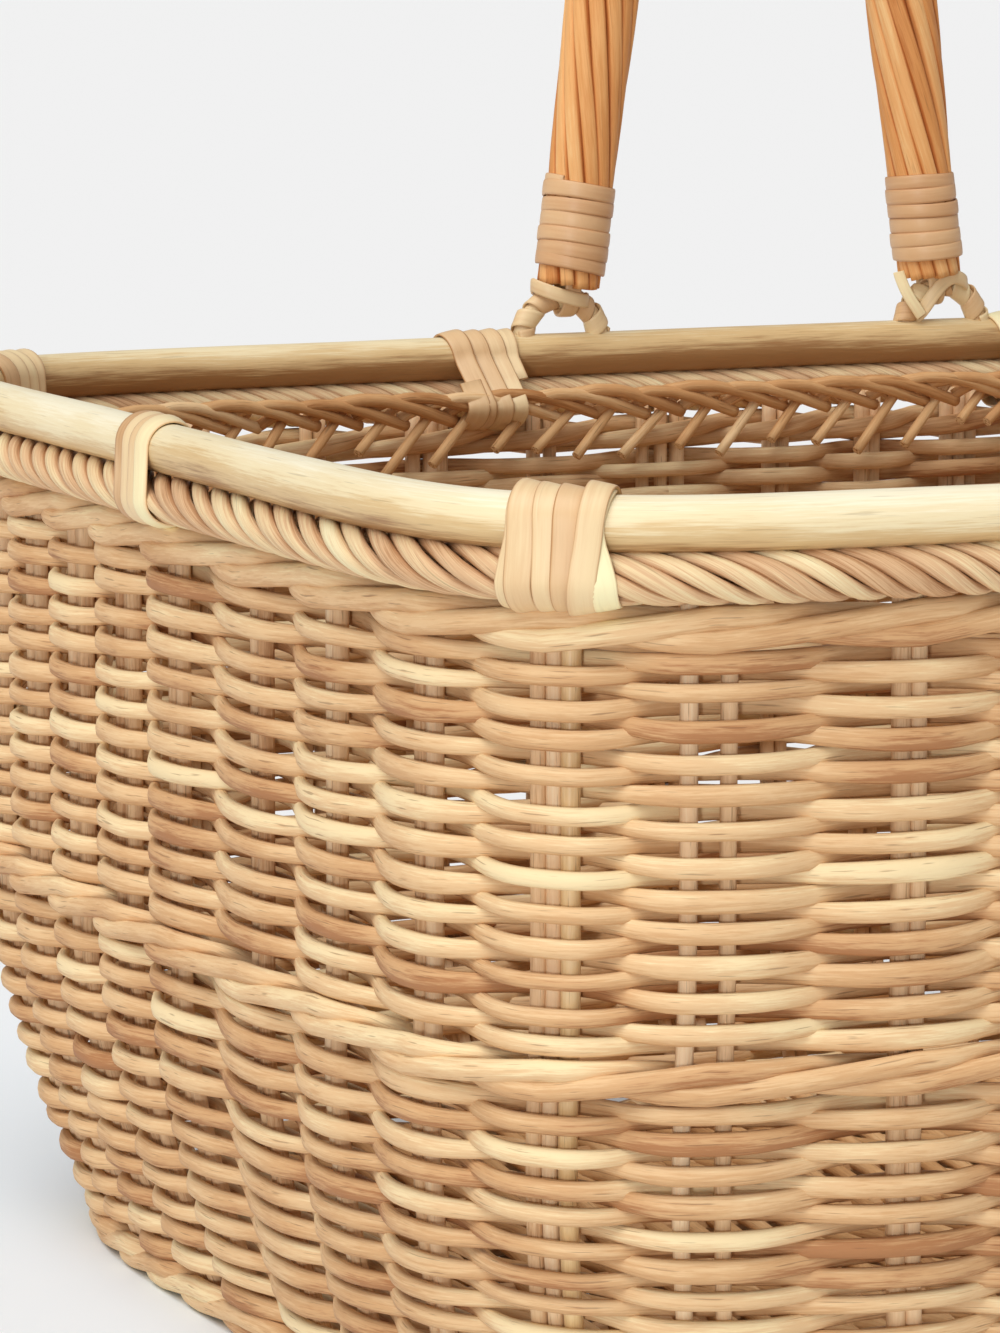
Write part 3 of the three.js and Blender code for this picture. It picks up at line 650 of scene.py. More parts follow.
# Three rods round the wall, made as one rod wound three times round. It passes in front of two groups,
# rising from the lower to the upper place, and behind the third. Gives the distance, the crossing, the
# swing from behind, -1, to in front, and the rise.
def threeRods(fronts, knots, rises):
    distance, crossed, share = aroundWall(3)
    place = np.arange(3 * groupCount) % 3
    rise = np.interp(np.repeat(place, weave["steps"]) + share, knots, rises)
    return distance, crossed, easedBetween(np.array(fronts)[place], crossed), rise


wale = {
    "fronts": (-1.0, 1.0, 1.0),
    "knots": (0, 0.55, 1, 2, 2.5, 3),
    "rises": (0.0, -0.75, -1.0, 0.85, 0.95, 0.0),
    "wander": 0.3,
    "depth": -5,
    "bow": 0.35,
    "behind": 0.8,  # thickness behind a group against the one in front
    "flatness": 1.08,
    "squareness": 2.1,
    "sides": 12,
}


def makeWale(name, middle, span, radius):
    s = wale
    distance, crossed, swing, rise = threeRods(s["fronts"], s["knots"], s["rises"])
    height = middle + span * rise + s["wander"] * bandWander(distance, 0)
    outward = s["depth"] + weave["swing"] * swing - s["bow"] * np.abs(rise)
    centres, facing = wallLines(distance, height, outward)
    thick = radius * between(s["behind"], 1, np.abs(swing))
    wide = thick * s["flatness"]
    tint = 0.58 + easedBetween(random.normal(0, 0.16, 3 * groupCount), crossed)
    # painted shade on the lower side of each rod
    tint = withPaintedUndersideShade(tint, s["sides"], weave["underside"])
    girth = 2 * np.pi * radius
    return tubeMesh(name, centres, facing, thick, wide, s["sides"], tint, girth, True, s["squareness"])


addPiece(makeUprights(), stickCaneWithPaintedLight, "basket")
addPiece(makePosts(), postCaneWithPaintedLight, "basket")
addWeave("upper_weavers", 94.6, 172.6, 24, "upper_weave")
addWeave("lower_weavers", 8.6, 85.4, 24, "lower_weave")
addPiece(makeWale("middle_wale_rods", 90.0, 2.25, 2.1), weaverCane, "basket", ["middle_wale"])
addPiece(makeWale("top_wale_rods", 177.4, 2.4, 2.3), weaverCane, "basket", ["top_wale"])

# Rim

rim = {
    "poleMiddle": 198.0,
    "poleRadius": 5.5,
    "borderMiddle": 187.2,
    "borderHalfDepth": 6,
    "borderHalfHeight": 5.3,
    "borderStrands": 6,
    "borderPitch": 41,  # length of rim in which a strand goes once round, longer at the left end
    "borderEndPitch": 70,
    "borderEndAt": 60,  # from the left end's middle towards the near corner
    "borderEndReach": 120,
    "strandHalfThick": 1.5,
    "strandHalfWide": 1.9,
    "poleStations": 720,
    "poleSides": 32,
    "polePress": 0.45,  # how far the pole is pressed into the border
    "strandStations": 1300,
    "strandSides": 12,
    "strandSquareness": 2.1,
    # depth of the painted shade along each strand's edges, where strands meet
    "strandEdgeShade": 0.4,
}


# Hoop of peeled pole: round section carried along the rim, a little thicker here and there
def makePole():
    distance = np.arange(rim["poleStations"]) / rim["poleStations"] * rimLength
    turn = 2 * np.pi * distance / rimLength
    swell = 1 + 0.012 * np.sin(5 * turn + 1) + 0.01 * np.sin(11 * turn) + 0.006 * np.sin(23 * turn + 2)
    height = rim["poleMiddle"] - rim["polePress"] + 0.2 * np.sin(4 * turn + 2)
    centres, facing = wallLines(distance, height, 0.2 * np.sin(6 * turn))
    radius = rim["poleRadius"] * mm * swell
    points = tubePoints(centres[None], facing, radius, radius, rim["poleSides"], True, 2.0)
    # painted light and shade: pale on top and golden underneath; painted shade: browner along the far side
    topLight = (points[..., 2] - centres[:, None, 2]) / (rim["poleRadius"] * mm)
    farShade = np.clip(points[..., 1] / (wall["rimHalfWidth"] * 0.9), 0, 1) ** 4
    tint = 0.53 + 0.05 * np.sin(3 * turn + 1)[:, None] + 0.37 * topLight - 0.36 * farShade
    return gridMesh("rim_pole_hoop", points, True, tint, 2 * np.pi * rim["poleRadius"] * mm)


# Rolled border: strands wound round the border's oval. The angle falls with the distance along the
# rim, so that on the outside each strand runs down to the right. The turns are the sum of
# step / pitch, scaled to a whole number.
def makeBorder():
    s = rim
    count = s["borderStrands"]
    strand = np.arange(count)[:, None]
    distance = np.arange(s["strandStations"])[None] / s["strandStations"] * rimLength
    around = 2 * np.pi * distance / rimLength
    table = np.linspace(0, rimLength, 2001)
    fromEnd = (table - halfLap) / mm - s["borderEndAt"]
    nearEnd = np.exp(-(fromEnd / s["borderEndReach"]) ** 2)
    pitch = between(s["borderPitch"], s["borderEndPitch"], nearEnd) * mm
    turned = np.concatenate([[0], np.cumsum((table[1:] - table[:-1]) / pitch[1:])])
    turnCount = int(round(turned[-1]))
    turns = np.interp(distance, table, turned * turnCount / turned[-1])
    angle = 2 * np.pi * (strand / count - turns)
    angle = angle + 0.12 * np.sin(angle + 0.6) + 0.025 * np.sin(9 * around + strand * 2.2)
    thick = s["strandHalfThick"]
    outward = (s["borderHalfDepth"] - thick) * np.cos(angle)
    height = s["borderMiddle"] + (s["borderHalfHeight"] - thick) * np.sin(angle)
    centres, normal = wallLines(distance, height, outward)
    facing = normal * np.cos(angle)[..., None] + upward * np.sin(angle)[..., None]
    wide = s["strandHalfWide"] * (1 + 0.08 * np.sin(31 * around + strand))
    # a strand is another stick at each turn, changed where it runs underneath
    laps = np.floor(turns - strand / count + 0.75).astype(int) % turnCount
    tints = np.clip(random.normal(0.54, 0.11, (count, turnCount)), 0, 1)
    # painted shade along each strand's edges
    tint = withPaintedEdgeShade(np.take_along_axis(tints, laps, 1), s["strandSides"], s["strandEdgeShade"])
    girth = 2 * np.pi * s["strandHalfWide"]
    sides, power = s["strandSides"], s["strandSquareness"]
    return tubeMesh("border_strands", centres, facing, thick, wide, sides, tint, girth, True, power)


addPiece(makePole(), poleCane, "basket", ["rim_pole"])
addPiece(makeBorder(), borderCane, "basket", ["rolled_border"])

# Inner plait

plait = {
    "spacing": 12.9,
    "reach": 42,  # length of an arching rod along the wall
    "rodRadius": 1.52,
    "low": 183.2,
    "high": 189.4,
    "humps": (0.2, 0.55, 0.86, 1, 0.95, 0.62, 0.25, -0.05),  # from low, 0, to high, 1, along a rod
    "depth": -13.6,
    "proud": 2.2,
    "sides": 10,
    "endRadius": 1.3,
    "endDrop": 9.0,
    "endRun": 10.0,
    "endTop": 184.0,
    "endShift": 33,
    "endDepth": -13.2,
    "endLean": 3.6,
}
plaitCount = int(round(rimLength / mm / plait["spacing"]))


# Plait of thin rods inside the border. Each arches along the wall towards the right as seen from
# inside: height = low + (high - low) * hump, depth = start behind, stand proud, end behind.
def makePlait():
    s = plait
    count = plaitCount
    first = np.arange(count)[:, None] / count * rimLength + random.normal(0, 0.7, (count, 1)) * mm
    share = np.linspace(0, 1, 22)
    distance = first - share * (s["reach"] + random.normal(0, 2, (count, 1))) * mm
    hump = np.interp(share, [0, 0.08, 0.2, 0.34, 0.5, 0.7, 0.86, 1], s["humps"])
    forward = np.interp(share, [0, 0.12, 0.3, 0.55, 0.8, 1], [-0.5, 0.1, 0.9, 1, 0.55, -0.6])
    height = between(s["low"], s["high"], hump) + random.normal(0, 0.3, (count, 1))
    centres, normal = wallLines(distance, height, s["depth"] - s["proud"] * forward)
    radius = s["rodRadius"] * (1 + random.normal(0, 0.06, (count, 1)))
    tint = random.normal(0.5, 0.18, count)[:, None, None]
    return rodMesh("plait_rods", centres, -normal, radius, s["sides"], tint, s["rodRadius"])


# Cut ends of the plait: short straight rods that lean down to the left as seen from inside
def makePlaitEnds():
    s = plait
    count = plaitCount
    shift = random.normal(0, 1.3, (count, 1)) - s["endShift"]
    size = 1 + np.clip(random.normal(0, 0.22, (count, 1)), -0.45, 0.35)
    lean = 1 + random.normal(0, 0.12, (count, 1))
    share = np.linspace(-0.35, 1, 5)
    distance = np.arange(count)[:, None] / count * rimLength + (shift + s["endRun"] * size * share) * mm
    height = s["endTop"] - s["endDrop"] * size * lean * share
    centres, normal = wallLines(distance, height, s["endDepth"] - s["endLean"] * share)
    tint = random.normal(0.62, 0.16, count)[:, None, None]
    return rodMesh("plait_ends", centres, -normal, s["endRadius"], s["sides"], tint, s["endRadius"])


addPiece(makePlait(), plaitCaneWithPaintedShade, "basket", ["inner_plait"])
addPiece(makePlaitEnds(), plaitCaneWithPaintedShade, "basket")

# Foot

foot = {
    "fronts": (-1.0, 1.0, 0.9),
    "knots": (0, 0.5, 1, 2, 2.5, 3),
    "rises": (0.0, -0.8, -1.0, 0.85, 0.9, 0.0),
    "middle": 4.3,
    "span": 1.7,
    "radius": 2.5,
    "depth": -3.4,
    "swing": 1.6,
    "sides": 10,
}


# Foot border: three rods round the edge of the base
def makeFoot():
    s = foot
    distance, crossed, swing, rise = threeRods(s["fronts"], s["knots"], s["rises"])
    height = s["middle"] + s["span"] * rise
    centres, facing = wallLines(distance, height, s["depth"] + s["swing"] * swing)
    tint = 0.6 + easedBetween(random.normal(0, 0.14, 3 * groupCount), crossed)[:, None]
    return rodMesh("foot_rods", centres, facing, s["radius"], s["sides"], tint, s["radius"], True)


addPiece(makeFoot(), weaverCane, "basket", ["foot_border"])

# Base

base = {
    "stickCount": 7,
    "stickSpacing": 40,
    "middle": 5.5,
    "swing": 1.9,
    "pitch": 3.9,
    "radius": 1.8,
    "sides": 8,
    "margin": 8,  # from the foot's inset wall in to the rows' ends
}


# Rows that run across the base over and under its sticks: height = middle + swing * cos(pi * y / spacing)
def makeBase():
    s = base
    halfX = (wall["rimHalfLength"] - wall["footInset"]) / mm - s["margin"]
    count = int(2 * halfX / s["pitch"])
    x = (np.arange(count) - (count - 1) / 2) * s["pitch"]
    halfY = (wall["rimHalfWidth"] - wall["footInset"]) / mm - s["margin"]
    halfY = halfY * (1 - np.abs(x / (halfX + s["margin"] / 2)) ** 5) ** 0.2
    y = halfY[:, None] * np.linspace(-1, 1, 62)
    flip = np.where(np.arange(count) % 2 == 0, 1.0, -1.0)[:, None]
    z = s["middle"] + s["swing"] * flip * np.cos(np.pi * y / s["stickSpacing"])
    centres = stacked(x[:, None], y, z) * mm
    tint = random.normal(0.5, 0.18, count)[:, None, None]
    return rodMesh("base_weavers", centres, upward, s["radius"], s["sides"], tint, s["radius"])


addPiece(makeBase(), baseCane, "basket", ["base_weave"])
for number in range(base["stickCount"]):
    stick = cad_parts[f"base_stick_{number + 1}"].data
    stick.materials.clear()
    stick.materials.append(solidCane)

# Lashings

lashing = {
    "width": 5.4,
    "thickness": 0.7,
    "pitch": 4.5,
    "endPitch": 3.7,
    "turns": 4,
    "steps": 44,
    "sides": 14,
    "knots": (0.25, 0.48, 0.54, 0.75),  # parts of a turn: top, waist, below the waist, bottom
    "tilt": 0.2,  # each turn lies with its left edge on the turn before
    "gap": 0.2,
    "rounding": 0.03,
    "topShake": 0.35,
    "bottomShake": 0.5,
    "waistShare": 0.46,  # of the way from a turn's place on top to the one underneath
    "lowShare": 0.58,
    "secondRaise": 0.12,  # every second turn lies a little prouder
    "sideCrowding": 0.85,  # a side lashing's turns lie closer underneath
    "sideDepth": 17.6,  # inner reach of a side lashing, round the plait
    "sideDrop": 6.9,
    "cornerX": 209,
    "sideX": 78.2,
    # the near left corner's turns: places along the rim on top, above and below the waist between pole
    # and border, and underneath, and how proud they lie
    "cornerTops": (-12.3, -11.8, -7.6, -3.6, 1.7, 1.7),
    "cornerWaists": (-12.2, -11.4, -7.2, -3.8, 0.0, 0.1),
    "cornerLows": (-14.0, -11.9, -7.3, -4.0, 2.5, -0.9),
    "cornerBottoms": (-14.6, -12.4, -7.4, -4.2, 2.9, -1.7),
    "cornerRaises": (0.0, 0.75, 0.3, 0.15, 0.0, 0.85),
    "cornerTints": (0.7, 0.52, 0.6, 0.34, 0.95, 0.55),
}


# Loop round the pole and the border, read by turns: half round the pole, a straight run down to the
# border, half round its oval, which may reach further on the inside, and a straight run up. Gives how
# far outward, the height and the direction facing away.
def lashingLoop(turns, off, innerDepth, drop):
    part = turns % 1
    angle = np.interp(part, [0, 0.05, 0.45, 0.55, 0.95, 1], [np.pi, np.pi, 0, 0, -np.pi, -np.pi])
    lower = np.interp(part, [0, 0.05, 0.45, 0.55, 0.95, 1], [0.5, 0, 0, 1, 1, 0.5])
    lowDepth = np.where(np.cos(angle) < 0, innerDepth, rim["borderHalfDepth"])
    halfDepth = between(rim["poleRadius"], lowDepth, lower) + off
    halfHeight = between(rim["poleRadius"], drop, lower) + off
    height = between(rim["poleMiddle"], rim["borderMiddle"], lower) + halfHeight * np.sin(angle)
    return halfDepth * np.cos(angle), height, np.cos(angle) / halfDepth, np.sin(angle) / halfHeight


# Flat cane wound round pole and border. Turn i lies at its own place on top at i + 1/4 of a turn, at
# the waist just before and after i + 1/2 and underneath at i + 3/4, with straight runs between them.
def makeLashing(name, middle, seed, place):
    s = lashing
    own = np.random.default_rng(seed)
    near = place == "front_left_corner"
    side = "side" in place
    count = len(s["cornerTops"]) if near else s["turns"]
    lap = np.arange(count)
    even = s["endPitch" if "end" in place else "pitch"] * (lap - (count - 1) / 2)
    tops = even + own.normal(0, s["topShake"], count)
    bottoms = even * (s["sideCrowding"] if side else 1.0) + own.normal(0, s["bottomShake"], count)
    waists = between(tops, bottoms, s["waistShare"])
    lows = between(tops, bottoms, s["lowShare"])
    raises = s["secondRaise"] * (lap % 2)
    tints = np.clip(0.55 + own.normal(0, 0.2, count), 0.1, 1)
    if near:
        names = ("cornerTops", "cornerWaists", "cornerLows", "cornerBottoms", "cornerRaises", "cornerTints")
        tops, waists, lows, bottoms, raises, tints = (np.array(s[each]) for each in names)
    knots = (lap[:, None] + s["knots"]).ravel()
    places = np.stack([tops, waists, lows, bottoms], 1).ravel()
    lifts = np.repeat(raises, len(s["knots"]))
    turns = np.linspace(0, count, count * s["steps"])
    # the runs' corners are rounded by a mean over a little of a turn
    around = turns[:, None] + np.linspace(-s["rounding"], s["rounding"], 7)[None]
    along = np.interp(around, knots, places).mean(1)
    raised = np.interp(around, knots, lifts).mean(1)
    off = s["thickness"] / 2 + s["gap"] + raised
    innerDepth = s["sideDepth"] if side else rim["borderHalfDepth"]
    drop = s["sideDrop"] if side else rim["borderHalfHeight"]
    outward, height, faceOut, faceUp = lashingLoop(turns, off, innerDepth, drop)
    centres, normal = wallLines(middle + along * mm, height, outward)
    beside = np.cross(upward, normal)
    facing = unit(normal * faceOut[:, None] + upward * faceUp[:, None]) + s["tilt"] * beside
    wide = s["width"] / 2 * (1 + 0.04 * np.sin(turns * 9 + seed))
    tint = tints[np.clip(turns.astype(int), 0, count - 1)]
    return woundMesh(name, centres, facing, s["thickness"], wide, s["width"], tint, s["sides"])


lashingPlaces = {"right_end": 0, "left_end": halfLap}
for place, x in (("corner", lashing["cornerX"]), ("side", lashing["sideX"])):
    distance = distanceAtX(x * mm)
    lashingPlaces[f"back_right_{place}"] = distance
    lashingPlaces[f"back_left_{place}"] = halfLap - distance
    lashingPlaces[f"front_left_{place}"] = halfLap + distance
    lashingPlaces[f"front_right_{place}"] = rimLength - distance
for seed, (place, distance) in enumerate(lashingPlaces.items()):
    mesh = makeLashing(f"{place}_binding", distance, seed + 3, place)
    addPiece(mesh, bindingCane, "basket", [f"{place}_lashing"])

# Handles

handle = {
    "span": 104.5,
    "rise": 69.5,
    "bowRadius": 43,
    "endRadius": 8.0,
    "middleRadius": 9.3,
    "swellLength": 85,
    "start": 3.0,
    "pivot": 212.0,
    "ringOutsets": {-1: 1.8, 1: 3.2},  # how far the left and the right ring stand outside their legs
    "strands": 12,
    "twist": 0.024,
    "strandThick": 1.9,  # from a strand's middle to its outside
    "strandInset": 1.15,  # from the grip's radius in to the one that the strands share out
    "stations": 150,
    "sides": 14,
    # depth of the painted shade along the strands' edges, in the grooves between them
    "edges": 0.5,
    "coreInset": 0.3,
    "coreOverlap": 1.4,
}
bowDistance = np.hypot(handle["span"] / 2, handle["rise"])
legLean = np.arctan2(handle["span"] / 2, handle["rise"]) - np.arcsin(handle["bowRadius"] / bowDistance)
legLength = np.sqrt(bowDistance ** 2 - handle["bowRadius"] ** 2)
bowLength = handle["bowRadius"] * (np.pi - 2 * legLean)
handleLength = 2 * legLength + bowLength


# Line of a handle: a leaning leg, a bow's arc and the other leg. x, height over the pivot, unit step.
def handleLine(distance):
    fromBow = distance - legLength
    radius = handle["bowRadius"]
    angle = legLean + np.clip(fromBow / radius, 0, np.pi - 2 * legLean)
    leg = np.clip(np.where(fromBow <= 0, distance, handleLength - distance), None, legLength)
    side = np.where(fromBow <= 0, 1.0, -1.0)
    onBow = (fromBow > 0) & (fromBow < bowLength)
    x = np.where(onBow, radius * np.cos(angle), side * (handle["span"] / 2 - leg * np.sin(legLean)))
    z = np.where(onBow, handle["rise"] + radius * np.sin(angle), leg * np.cos(legLean))
    stepX = np.where(onBow, -np.sin(angle), -np.sin(legLean))
    stepZ = np.where(onBow, np.cos(angle), side * np.cos(legLean))
    return x, z, stepX, stepZ


# Points round the handle's line, at a radius and an angle from its plane, and the way out to them
def roundHandle(y, distance, radius, angle):
    x, z, stepX, stepZ = handleLine(distance)
    away = stacked(np.cos(angle) * stepZ, np.sin(angle), -np.cos(angle) * stepX)
    return (stacked(x, y, handle["pivot"] + z) + np.asarray(radius)[..., None] * away) * mm, away


def gripRadius(distance):
    fromEnd = np.minimum(distance, handleLength - distance) - handle["start"]
    share = np.clip(fromEnd / handle["swellLength"], 0, 1)
    return between(handle["endRadius"], handle["middleRadius"], share * share * (3 - 2 * share))


# Bundle: split canes twisted round the handle's line, angle = place + twist * distance, each as wide
# as its share of the girth
def makeGrip(name, y, seed):
    s = handle
    own = np.random.default_rng(seed)
    count = s["strands"]
    ends = np.clip(own.normal(0, 0.25, (count, 2)), -0.2, 0.5) * np.array([1, -1])
    first = s["start"] + ends[:, :1]
    last = handleLength - s["start"] + ends[:, 1:]
    distance = between(first, last, np.linspace(0, 1, s["stations"]))
    place = 2 * np.pi * np.arange(count)[:, None] / count
    drift = 0.05 * np.sin(distance / 21 + own.uniform(0, 6, (count, 1)))
    angle = place - s["twist"] * (distance - handleLength / 2) + drift
    uneven = 1 + 0.02 * np.sin(distance / 13 + own.uniform(0, 6, (count, 1)))
    thick = s["strandThick"]
    centres, facing = roundHandle(y, distance, gripRadius(distance) * uneven - thick, angle)
    wide = np.pi * (gripRadius(distance) - s["strandInset"]) / count
    # painted shade along each strand's edges
    tint = withPaintedEdgeShade(own.normal(0.52, 0.15, count)[:, None], s["sides"], s["edges"])
    girth = 2 * np.pi * thick
    return tubeMesh(name, centres, facing, thick, wide, s["sides"], tint, girth, power=woundPower)


# Core that fills the bundle, coloured dark as painted shade in the grooves between the strands
def makeGripCore(name, y):
    s = handle
    first = s["start"] + s["coreInset"]
    distance = np.linspace(first, handleLength - first, 90)
    centres, facing = roundHandle(y, distance, 0, 0)
    radius = gripRadius(distance) - 2 * s["strandThick"] + s["coreOverlap"]
    return rodMesh(name, centres, facing, radius, 16, 0.1, 6)


wrap = {
    "turns": 6,
    "pitch": 3.75,
    "width": 3.9,
    "thickness": 0.8,
    "gap": 0.35,
    "start": 4.0,
    "steps": 36,
    "extraSteps": 8,
    "slant": 0.115,
}


# Flat cane wound round the end of the bundle: distance = start + pitch * turns, with a small tilt of
# its own on each turn. The whole winding lies aslant, lower towards +X.
def makeWrap(name, side, y, seed):
    s = wrap
    own = np.random.default_rng(seed)
    turns = np.arange(s["turns"] * s["steps"] + s["extraSteps"]) / s["steps"]
    angle = 2 * np.pi * turns * side + 0.6
    tilt = np.interp(turns, np.arange(8), own.normal(0, 0.35, 8)) * np.sin(angle + own.uniform(0, 6))
    hold = np.clip(turns, 0.5, s["turns"] - 0.4)
    reach = handle["endRadius"] + s["gap"] + s["thickness"] / 2 + 0.18 * np.sin(turns * 2.2 + seed)
    aslant = s["slant"] * reach * np.cos(angle) * side
    along = handle["start"] + s["start"] + s["pitch"] * hold + tilt * 0.6 - aslant
    distance = along if side > 0 else handleLength - along
    centres, facing = roundHandle(y, distance, reach, angle)
    wide = s["width"] / 2 * (1 + 0.05 * np.sin(turns * 3.3 + seed))
    tint = np.clip(0.56 + own.normal(0, 0.09, 9)[turns.astype(int)], 0, 1)
    return woundMesh(name, centres, facing, s["thickness"], wide, s["width"], tint, 12)


ring = {
    "halfSpan": 10.8,
    "foot": 200.9,
    "crown": 212.0,
    "coreRadius": 2.0,
    "depth": 0.8,  # the ring is flatter from front to back, so that a handle laid down clears it
    "footSwell": 0.5,
    "middleRadius": 2.2,
    "sides": 10,
    "wrapTurns": 6,
    "wrapWidth": 5.0,
    "wrapThickness": 0.7,
    "wrapGap": 0.1,
}


# Arch of the ring: x = halfSpan * cos(a), z = foot + rise * sin(a), a from one foot to the other.
# Gives the points, the direction facing away from the arch's middle and the core's radius.
def ringArch(x, y, angle):
    rise = ring["crown"] - ring["foot"]
    points = stacked(x + ring["halfSpan"] * np.cos(angle), y, ring["foot"] + rise * np.sin(angle)) * mm
    away = unit(stacked(rise * np.cos(angle), 0, ring["halfSpan"] * np.sin(angle)))
    return points, away, ring["coreRadius"] + ring["footSwell"] * np.cos(angle) ** 2


def makeRingCore(name, x, y):
    centres, away, radius = ringArch(x, y, np.linspace(0, np.pi, 30))
    girth = 2 * np.pi * ring["middleRadius"]
    return tubeMesh(name, centres, away, radius, radius * ring["depth"], ring["sides"], 0.5, girth)


# Flat cane wound round the arch: the offset from the arch turns round it as it goes along
def makeRingWrap(name, x, y, seed):
    s = ring
    own = np.random.default_rng(seed)
    share = np.linspace(0.02, 0.98, 150)
    centre, away, radius = ringArch(x, y, np.pi * share)
    turn = 2 * np.pi * s["wrapTurns"] * share + own.uniform(0, 6) + 0.3 * np.sin(7 * share)
    reach = (radius + s["wrapThickness"] / 2 + s["wrapGap"]) * mm
    outward = away * np.cos(turn)[:, None]
    sideways = np.array([0, 1.0, 0]) * np.sin(turn)[:, None]
    centres = centre + (outward + sideways * s["depth"]) * reach[:, None]
    wide = s["wrapWidth"] / 2 * (1 + 0.06 * np.sin(9 * share + seed))
    tint = 0.5 + 0.2 * np.sin(turn * 0.5 + seed)[:, None]
    return flatMesh(name, centres, outward + sideways, s["wrapThickness"], wide, s["wrapWidth"], tint)


strap = {
    "legLength": 27,
    "legGap": 3.5,  # from the bundle's middle to each leg, inside the canes
    "halfWidth": 2.3,
    "thickness": 1.2,
    "depth": 3.8,  # from the pivot down to the strap's inside
    "collarX": 7.6,
    "collarY": 5.1,
    "collarThickness": 0.9,
    "collarWidth": 3.6,
    # the left collar hangs in front and slopes, the right one arches
    "hangMiddle": -2.0,
    "hangUp": 0.4,
    "hangSlope": 0.14,
    "archMiddle": 2.4,
    "archUp": 1.8,
    "archFall": 0.1,
    # loose end from a right ring's left foot up to the bundle: across, sideways and up
    "tailWidth": 3.0,
    "tailThickness": 0.8,
    "tailFacing": (-0.35, -1.0, 0.2),
    "tail": (
        (-5.4, -4.0, -7.2),
        (-6.8, -3.8, -4.5),
        (-8.6, -2.8, -0.5),
        (-9.3, -1.5, 3.5),
        (-9.3, -0.8, 5.5),
    ),
}


# Turns points given as across, sideways and up on the +X leg into place on either leg
def ontoLeg(across, sideways, up, side, y):
    lean = -side * legLean
    x = across * np.cos(lean) + up * np.sin(lean)
    z = -across * np.sin(lean) + up * np.cos(lean)
    return stacked(x + side * handle["span"] / 2, sideways + y, handle["pivot"] + z) * mm


# Strap: a flat cane that runs down one side of the bundle, under the ring's crown and up the other side
def makeStrap(name, side, y):
    s = strap
    share = np.linspace(0, 1, 60)
    angle = np.interp(share, [0.3, 0.7], [np.pi, 2 * np.pi])
    down = np.interp(share, [0, 0.3, 0.7, 1], [s["legLength"], 0, 0, s["legLength"]])
    up = down + (s["depth"] + s["thickness"] / 2) * np.sin(angle)
    centres = ontoLeg(0, s["legGap"] * np.cos(angle), up, side, y)
    facing = stacked(0, np.cos(angle), np.sin(angle))
    return flatMesh(name, centres, facing, s["thickness"], s["halfWidth"], s["halfWidth"], 0.45)


# Collar: a flat cane laid round the ring's crown under the bundle. Left: up = hangUp - sag in front -
# slope * across. Right: up = archUp - archFall * (across - top)^2.
def makeCollar(name, side, y):
    s = strap
    angle = np.arange(56) / 56 * 2 * np.pi
    across = s["collarX"] * np.cos(angle) + s["hangMiddle" if side < 0 else "archMiddle"]
    sideways = s["collarY"] * np.sin(angle)
    up = s["hangUp"] - (np.abs(np.sin(angle)) - 0.5) - s["hangSlope"] * across
    if side > 0:
        up = s["archUp"] - s["archFall"] * (across - s["archMiddle"] - 1.9) ** 2
    centres = ontoLeg(across, sideways, up, side, y)
    facing = unit(stacked(np.cos(angle) / s["collarX"], np.sin(angle) / s["collarY"], 0))
    return flatMesh(name, centres, facing, s["collarThickness"], s["collarWidth"] / 2, 3.9, 0.6, True)


# Tail: a loose end of the ring's flat cane beside the bundle, through the points of the dictionary
def makeTail(name, side, y):
    s = strap
    knots = np.linspace(0, 1, len(s["tail"]))
    share = np.linspace(0, 1, 30)
    around = np.clip(share[:, None] + np.linspace(-0.12, 0.12, 7)[None], 0, 1)
    across, sideways, up = (np.interp(around, knots, column).mean(1) for column in np.array(s["tail"]).T)
    centres = ontoLeg(across, sideways, up, side, y)
    wide = s["tailWidth"]
    return flatMesh(name, centres, np.array(s["tailFacing"]), s["tailThickness"], wide / 2, wide, 0.7)


for seed, (end, y) in enumerate((("front", -185.0), ("back", 185.0))):
    body = f"{end}_handle"
    addPiece(makeGrip(f"{end}_grip_canes", y, seed + 20), handleCane, body, [f"{end}_grip"])
    addPiece(makeGripCore(f"{end}_grip_core", y), handleCane, body)
    for hand, side in (("left", -1), ("right", 1)):
        own = seed * 2 + side + 40
        name = f"{end}_{hand}"
        x = side * (handle["span"] / 2 + handle["ringOutsets"][side])
        addPiece(makeRingCore(f"{name}_ring_core", x, y), bindingCane, "basket")
        binding = makeRingWrap(f"{name}_ring_binding", x, y, own)
        addPiece(binding, bindingCane, "basket", [f"{name}_ring"])
        addPiece(makeStrap(f"{name}_hanger", side, y), bindingCane, body, [f"{name}_strap"])
        addPiece(makeCollar(f"{name}_collar", side, y), bindingCane, body)
        if side > 0:
            addPiece(makeTail(f"{name}_tail", side, y), bindingCane, "basket")
        winding = makeWrap(f"{name}_winding", side, y, own)
        addPiece(winding, windingCane, body, [f"{name}_wrap"])

# Studio

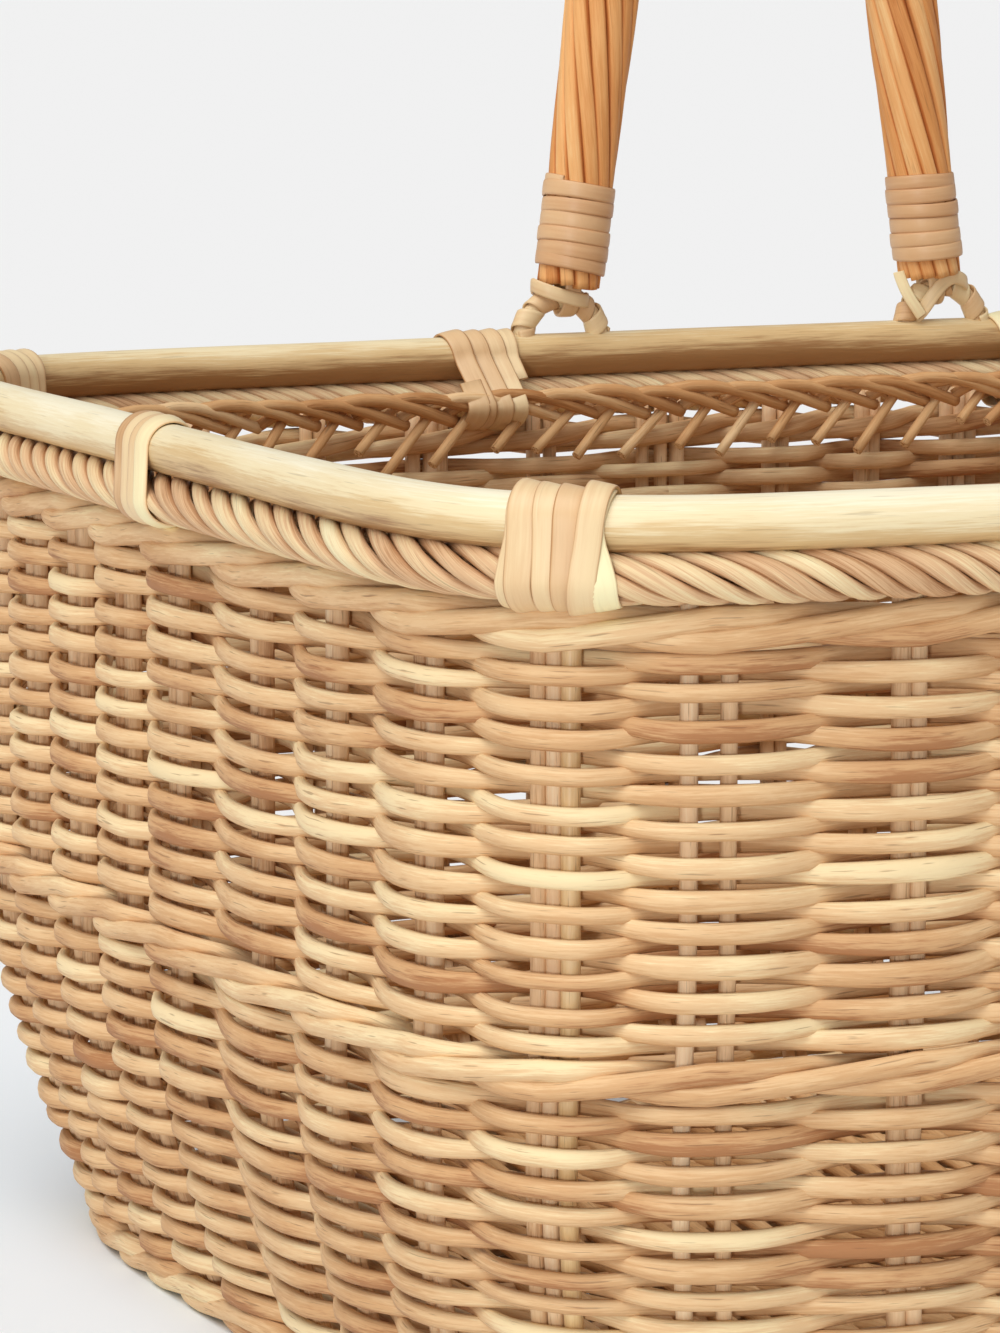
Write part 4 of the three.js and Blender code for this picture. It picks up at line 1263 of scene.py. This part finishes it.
studio = {
    "backdrop": (239, 239, 239),
    "floor": (246, 246, 246),
    "floorBounceCancel": (241, 249, 255),  # painted cool tint round the basket, against the warm light that the basket throws back on the floor
    "nearReach": (0.25, 0.5),  # distances from the middle over which the near colour gives way
    "floorHalf": 60,
    "world": 0.4,
    # strength, angle across and turn of each sun: a soft key from high on the front left, and a low
    # fill from beside the camera
    "suns": ((2.0, 50, (32, 0, -52)), (0.9, 7, (87.5, 0, -38))),
}


# The world lights with white, and the camera sees the backdrop's colour
def addWorld(settings):
    world = bpy.data.worlds.new("studio")
    bpy.context.scene.world = world
    world.use_nodes = True
    tree = world.node_tree
    light = tree.nodes["Background"]
    setInputs(tree, light, {"Color": (1, 1, 1, 1), "Strength": settings["world"]})
    seen = addNode(tree, "Background", {"Color": linear(settings["backdrop"]), "Strength": 1})
    path = addNode(tree, "LightPath").outputs["Is Camera Ray"]
    mix = addNode(tree, "MixShader", {0: path, 1: light.outputs[0], 2: seen.outputs[0]})
    setInputs(tree, tree.nodes["World Output"], {"Surface": mix.outputs[0]})


def addSuns(settings):
    for strength, angle, turn in settings["suns"]:
        sun = bpy.data.lights.new("sun", "SUN")
        sun.energy = strength
        sun.angle = np.radians(angle)
        addObject("sun", sun).rotation_euler = np.radians(turn)


def addFloor(settings):
    half = settings["floorHalf"]
    mesh = bpy.data.meshes.new("floor")
    corners = [(-half, -half, 0), (half, -half, 0), (half, half, 0), (-half, half, 0)]
    mesh.from_pydata(corners, [], [(0, 1, 2, 3)])
    material, tree, shader = newMaterial("floor")
    place = addNode(tree, "TexCoord").outputs["Object"]
    away = addNode(tree, "VectorMath", {0: place}, operation="LENGTH").outputs["Value"]
    inputs = {"Value": away, "From Min": settings["nearReach"][0], "From Max": settings["nearReach"][1]}
    share = addNode(tree, "MapRange", inputs).outputs["Result"]
    # painted: the cool colour round the basket cancels its warm bounce light
    colour = mixColours(tree, share, linear(settings["floorBounceCancel"]), linear(settings["floor"]))
    setInputs(tree, shader, {"Base Color": colour, "Roughness": 0.9, "Specular IOR Level": 0.0})
    mesh.materials.append(material)
    floor = addObject("floor", mesh)


addWorld(studio)
addSuns(studio)
addFloor(studio)
bpy.context.scene.view_settings.view_transform = "Standard"
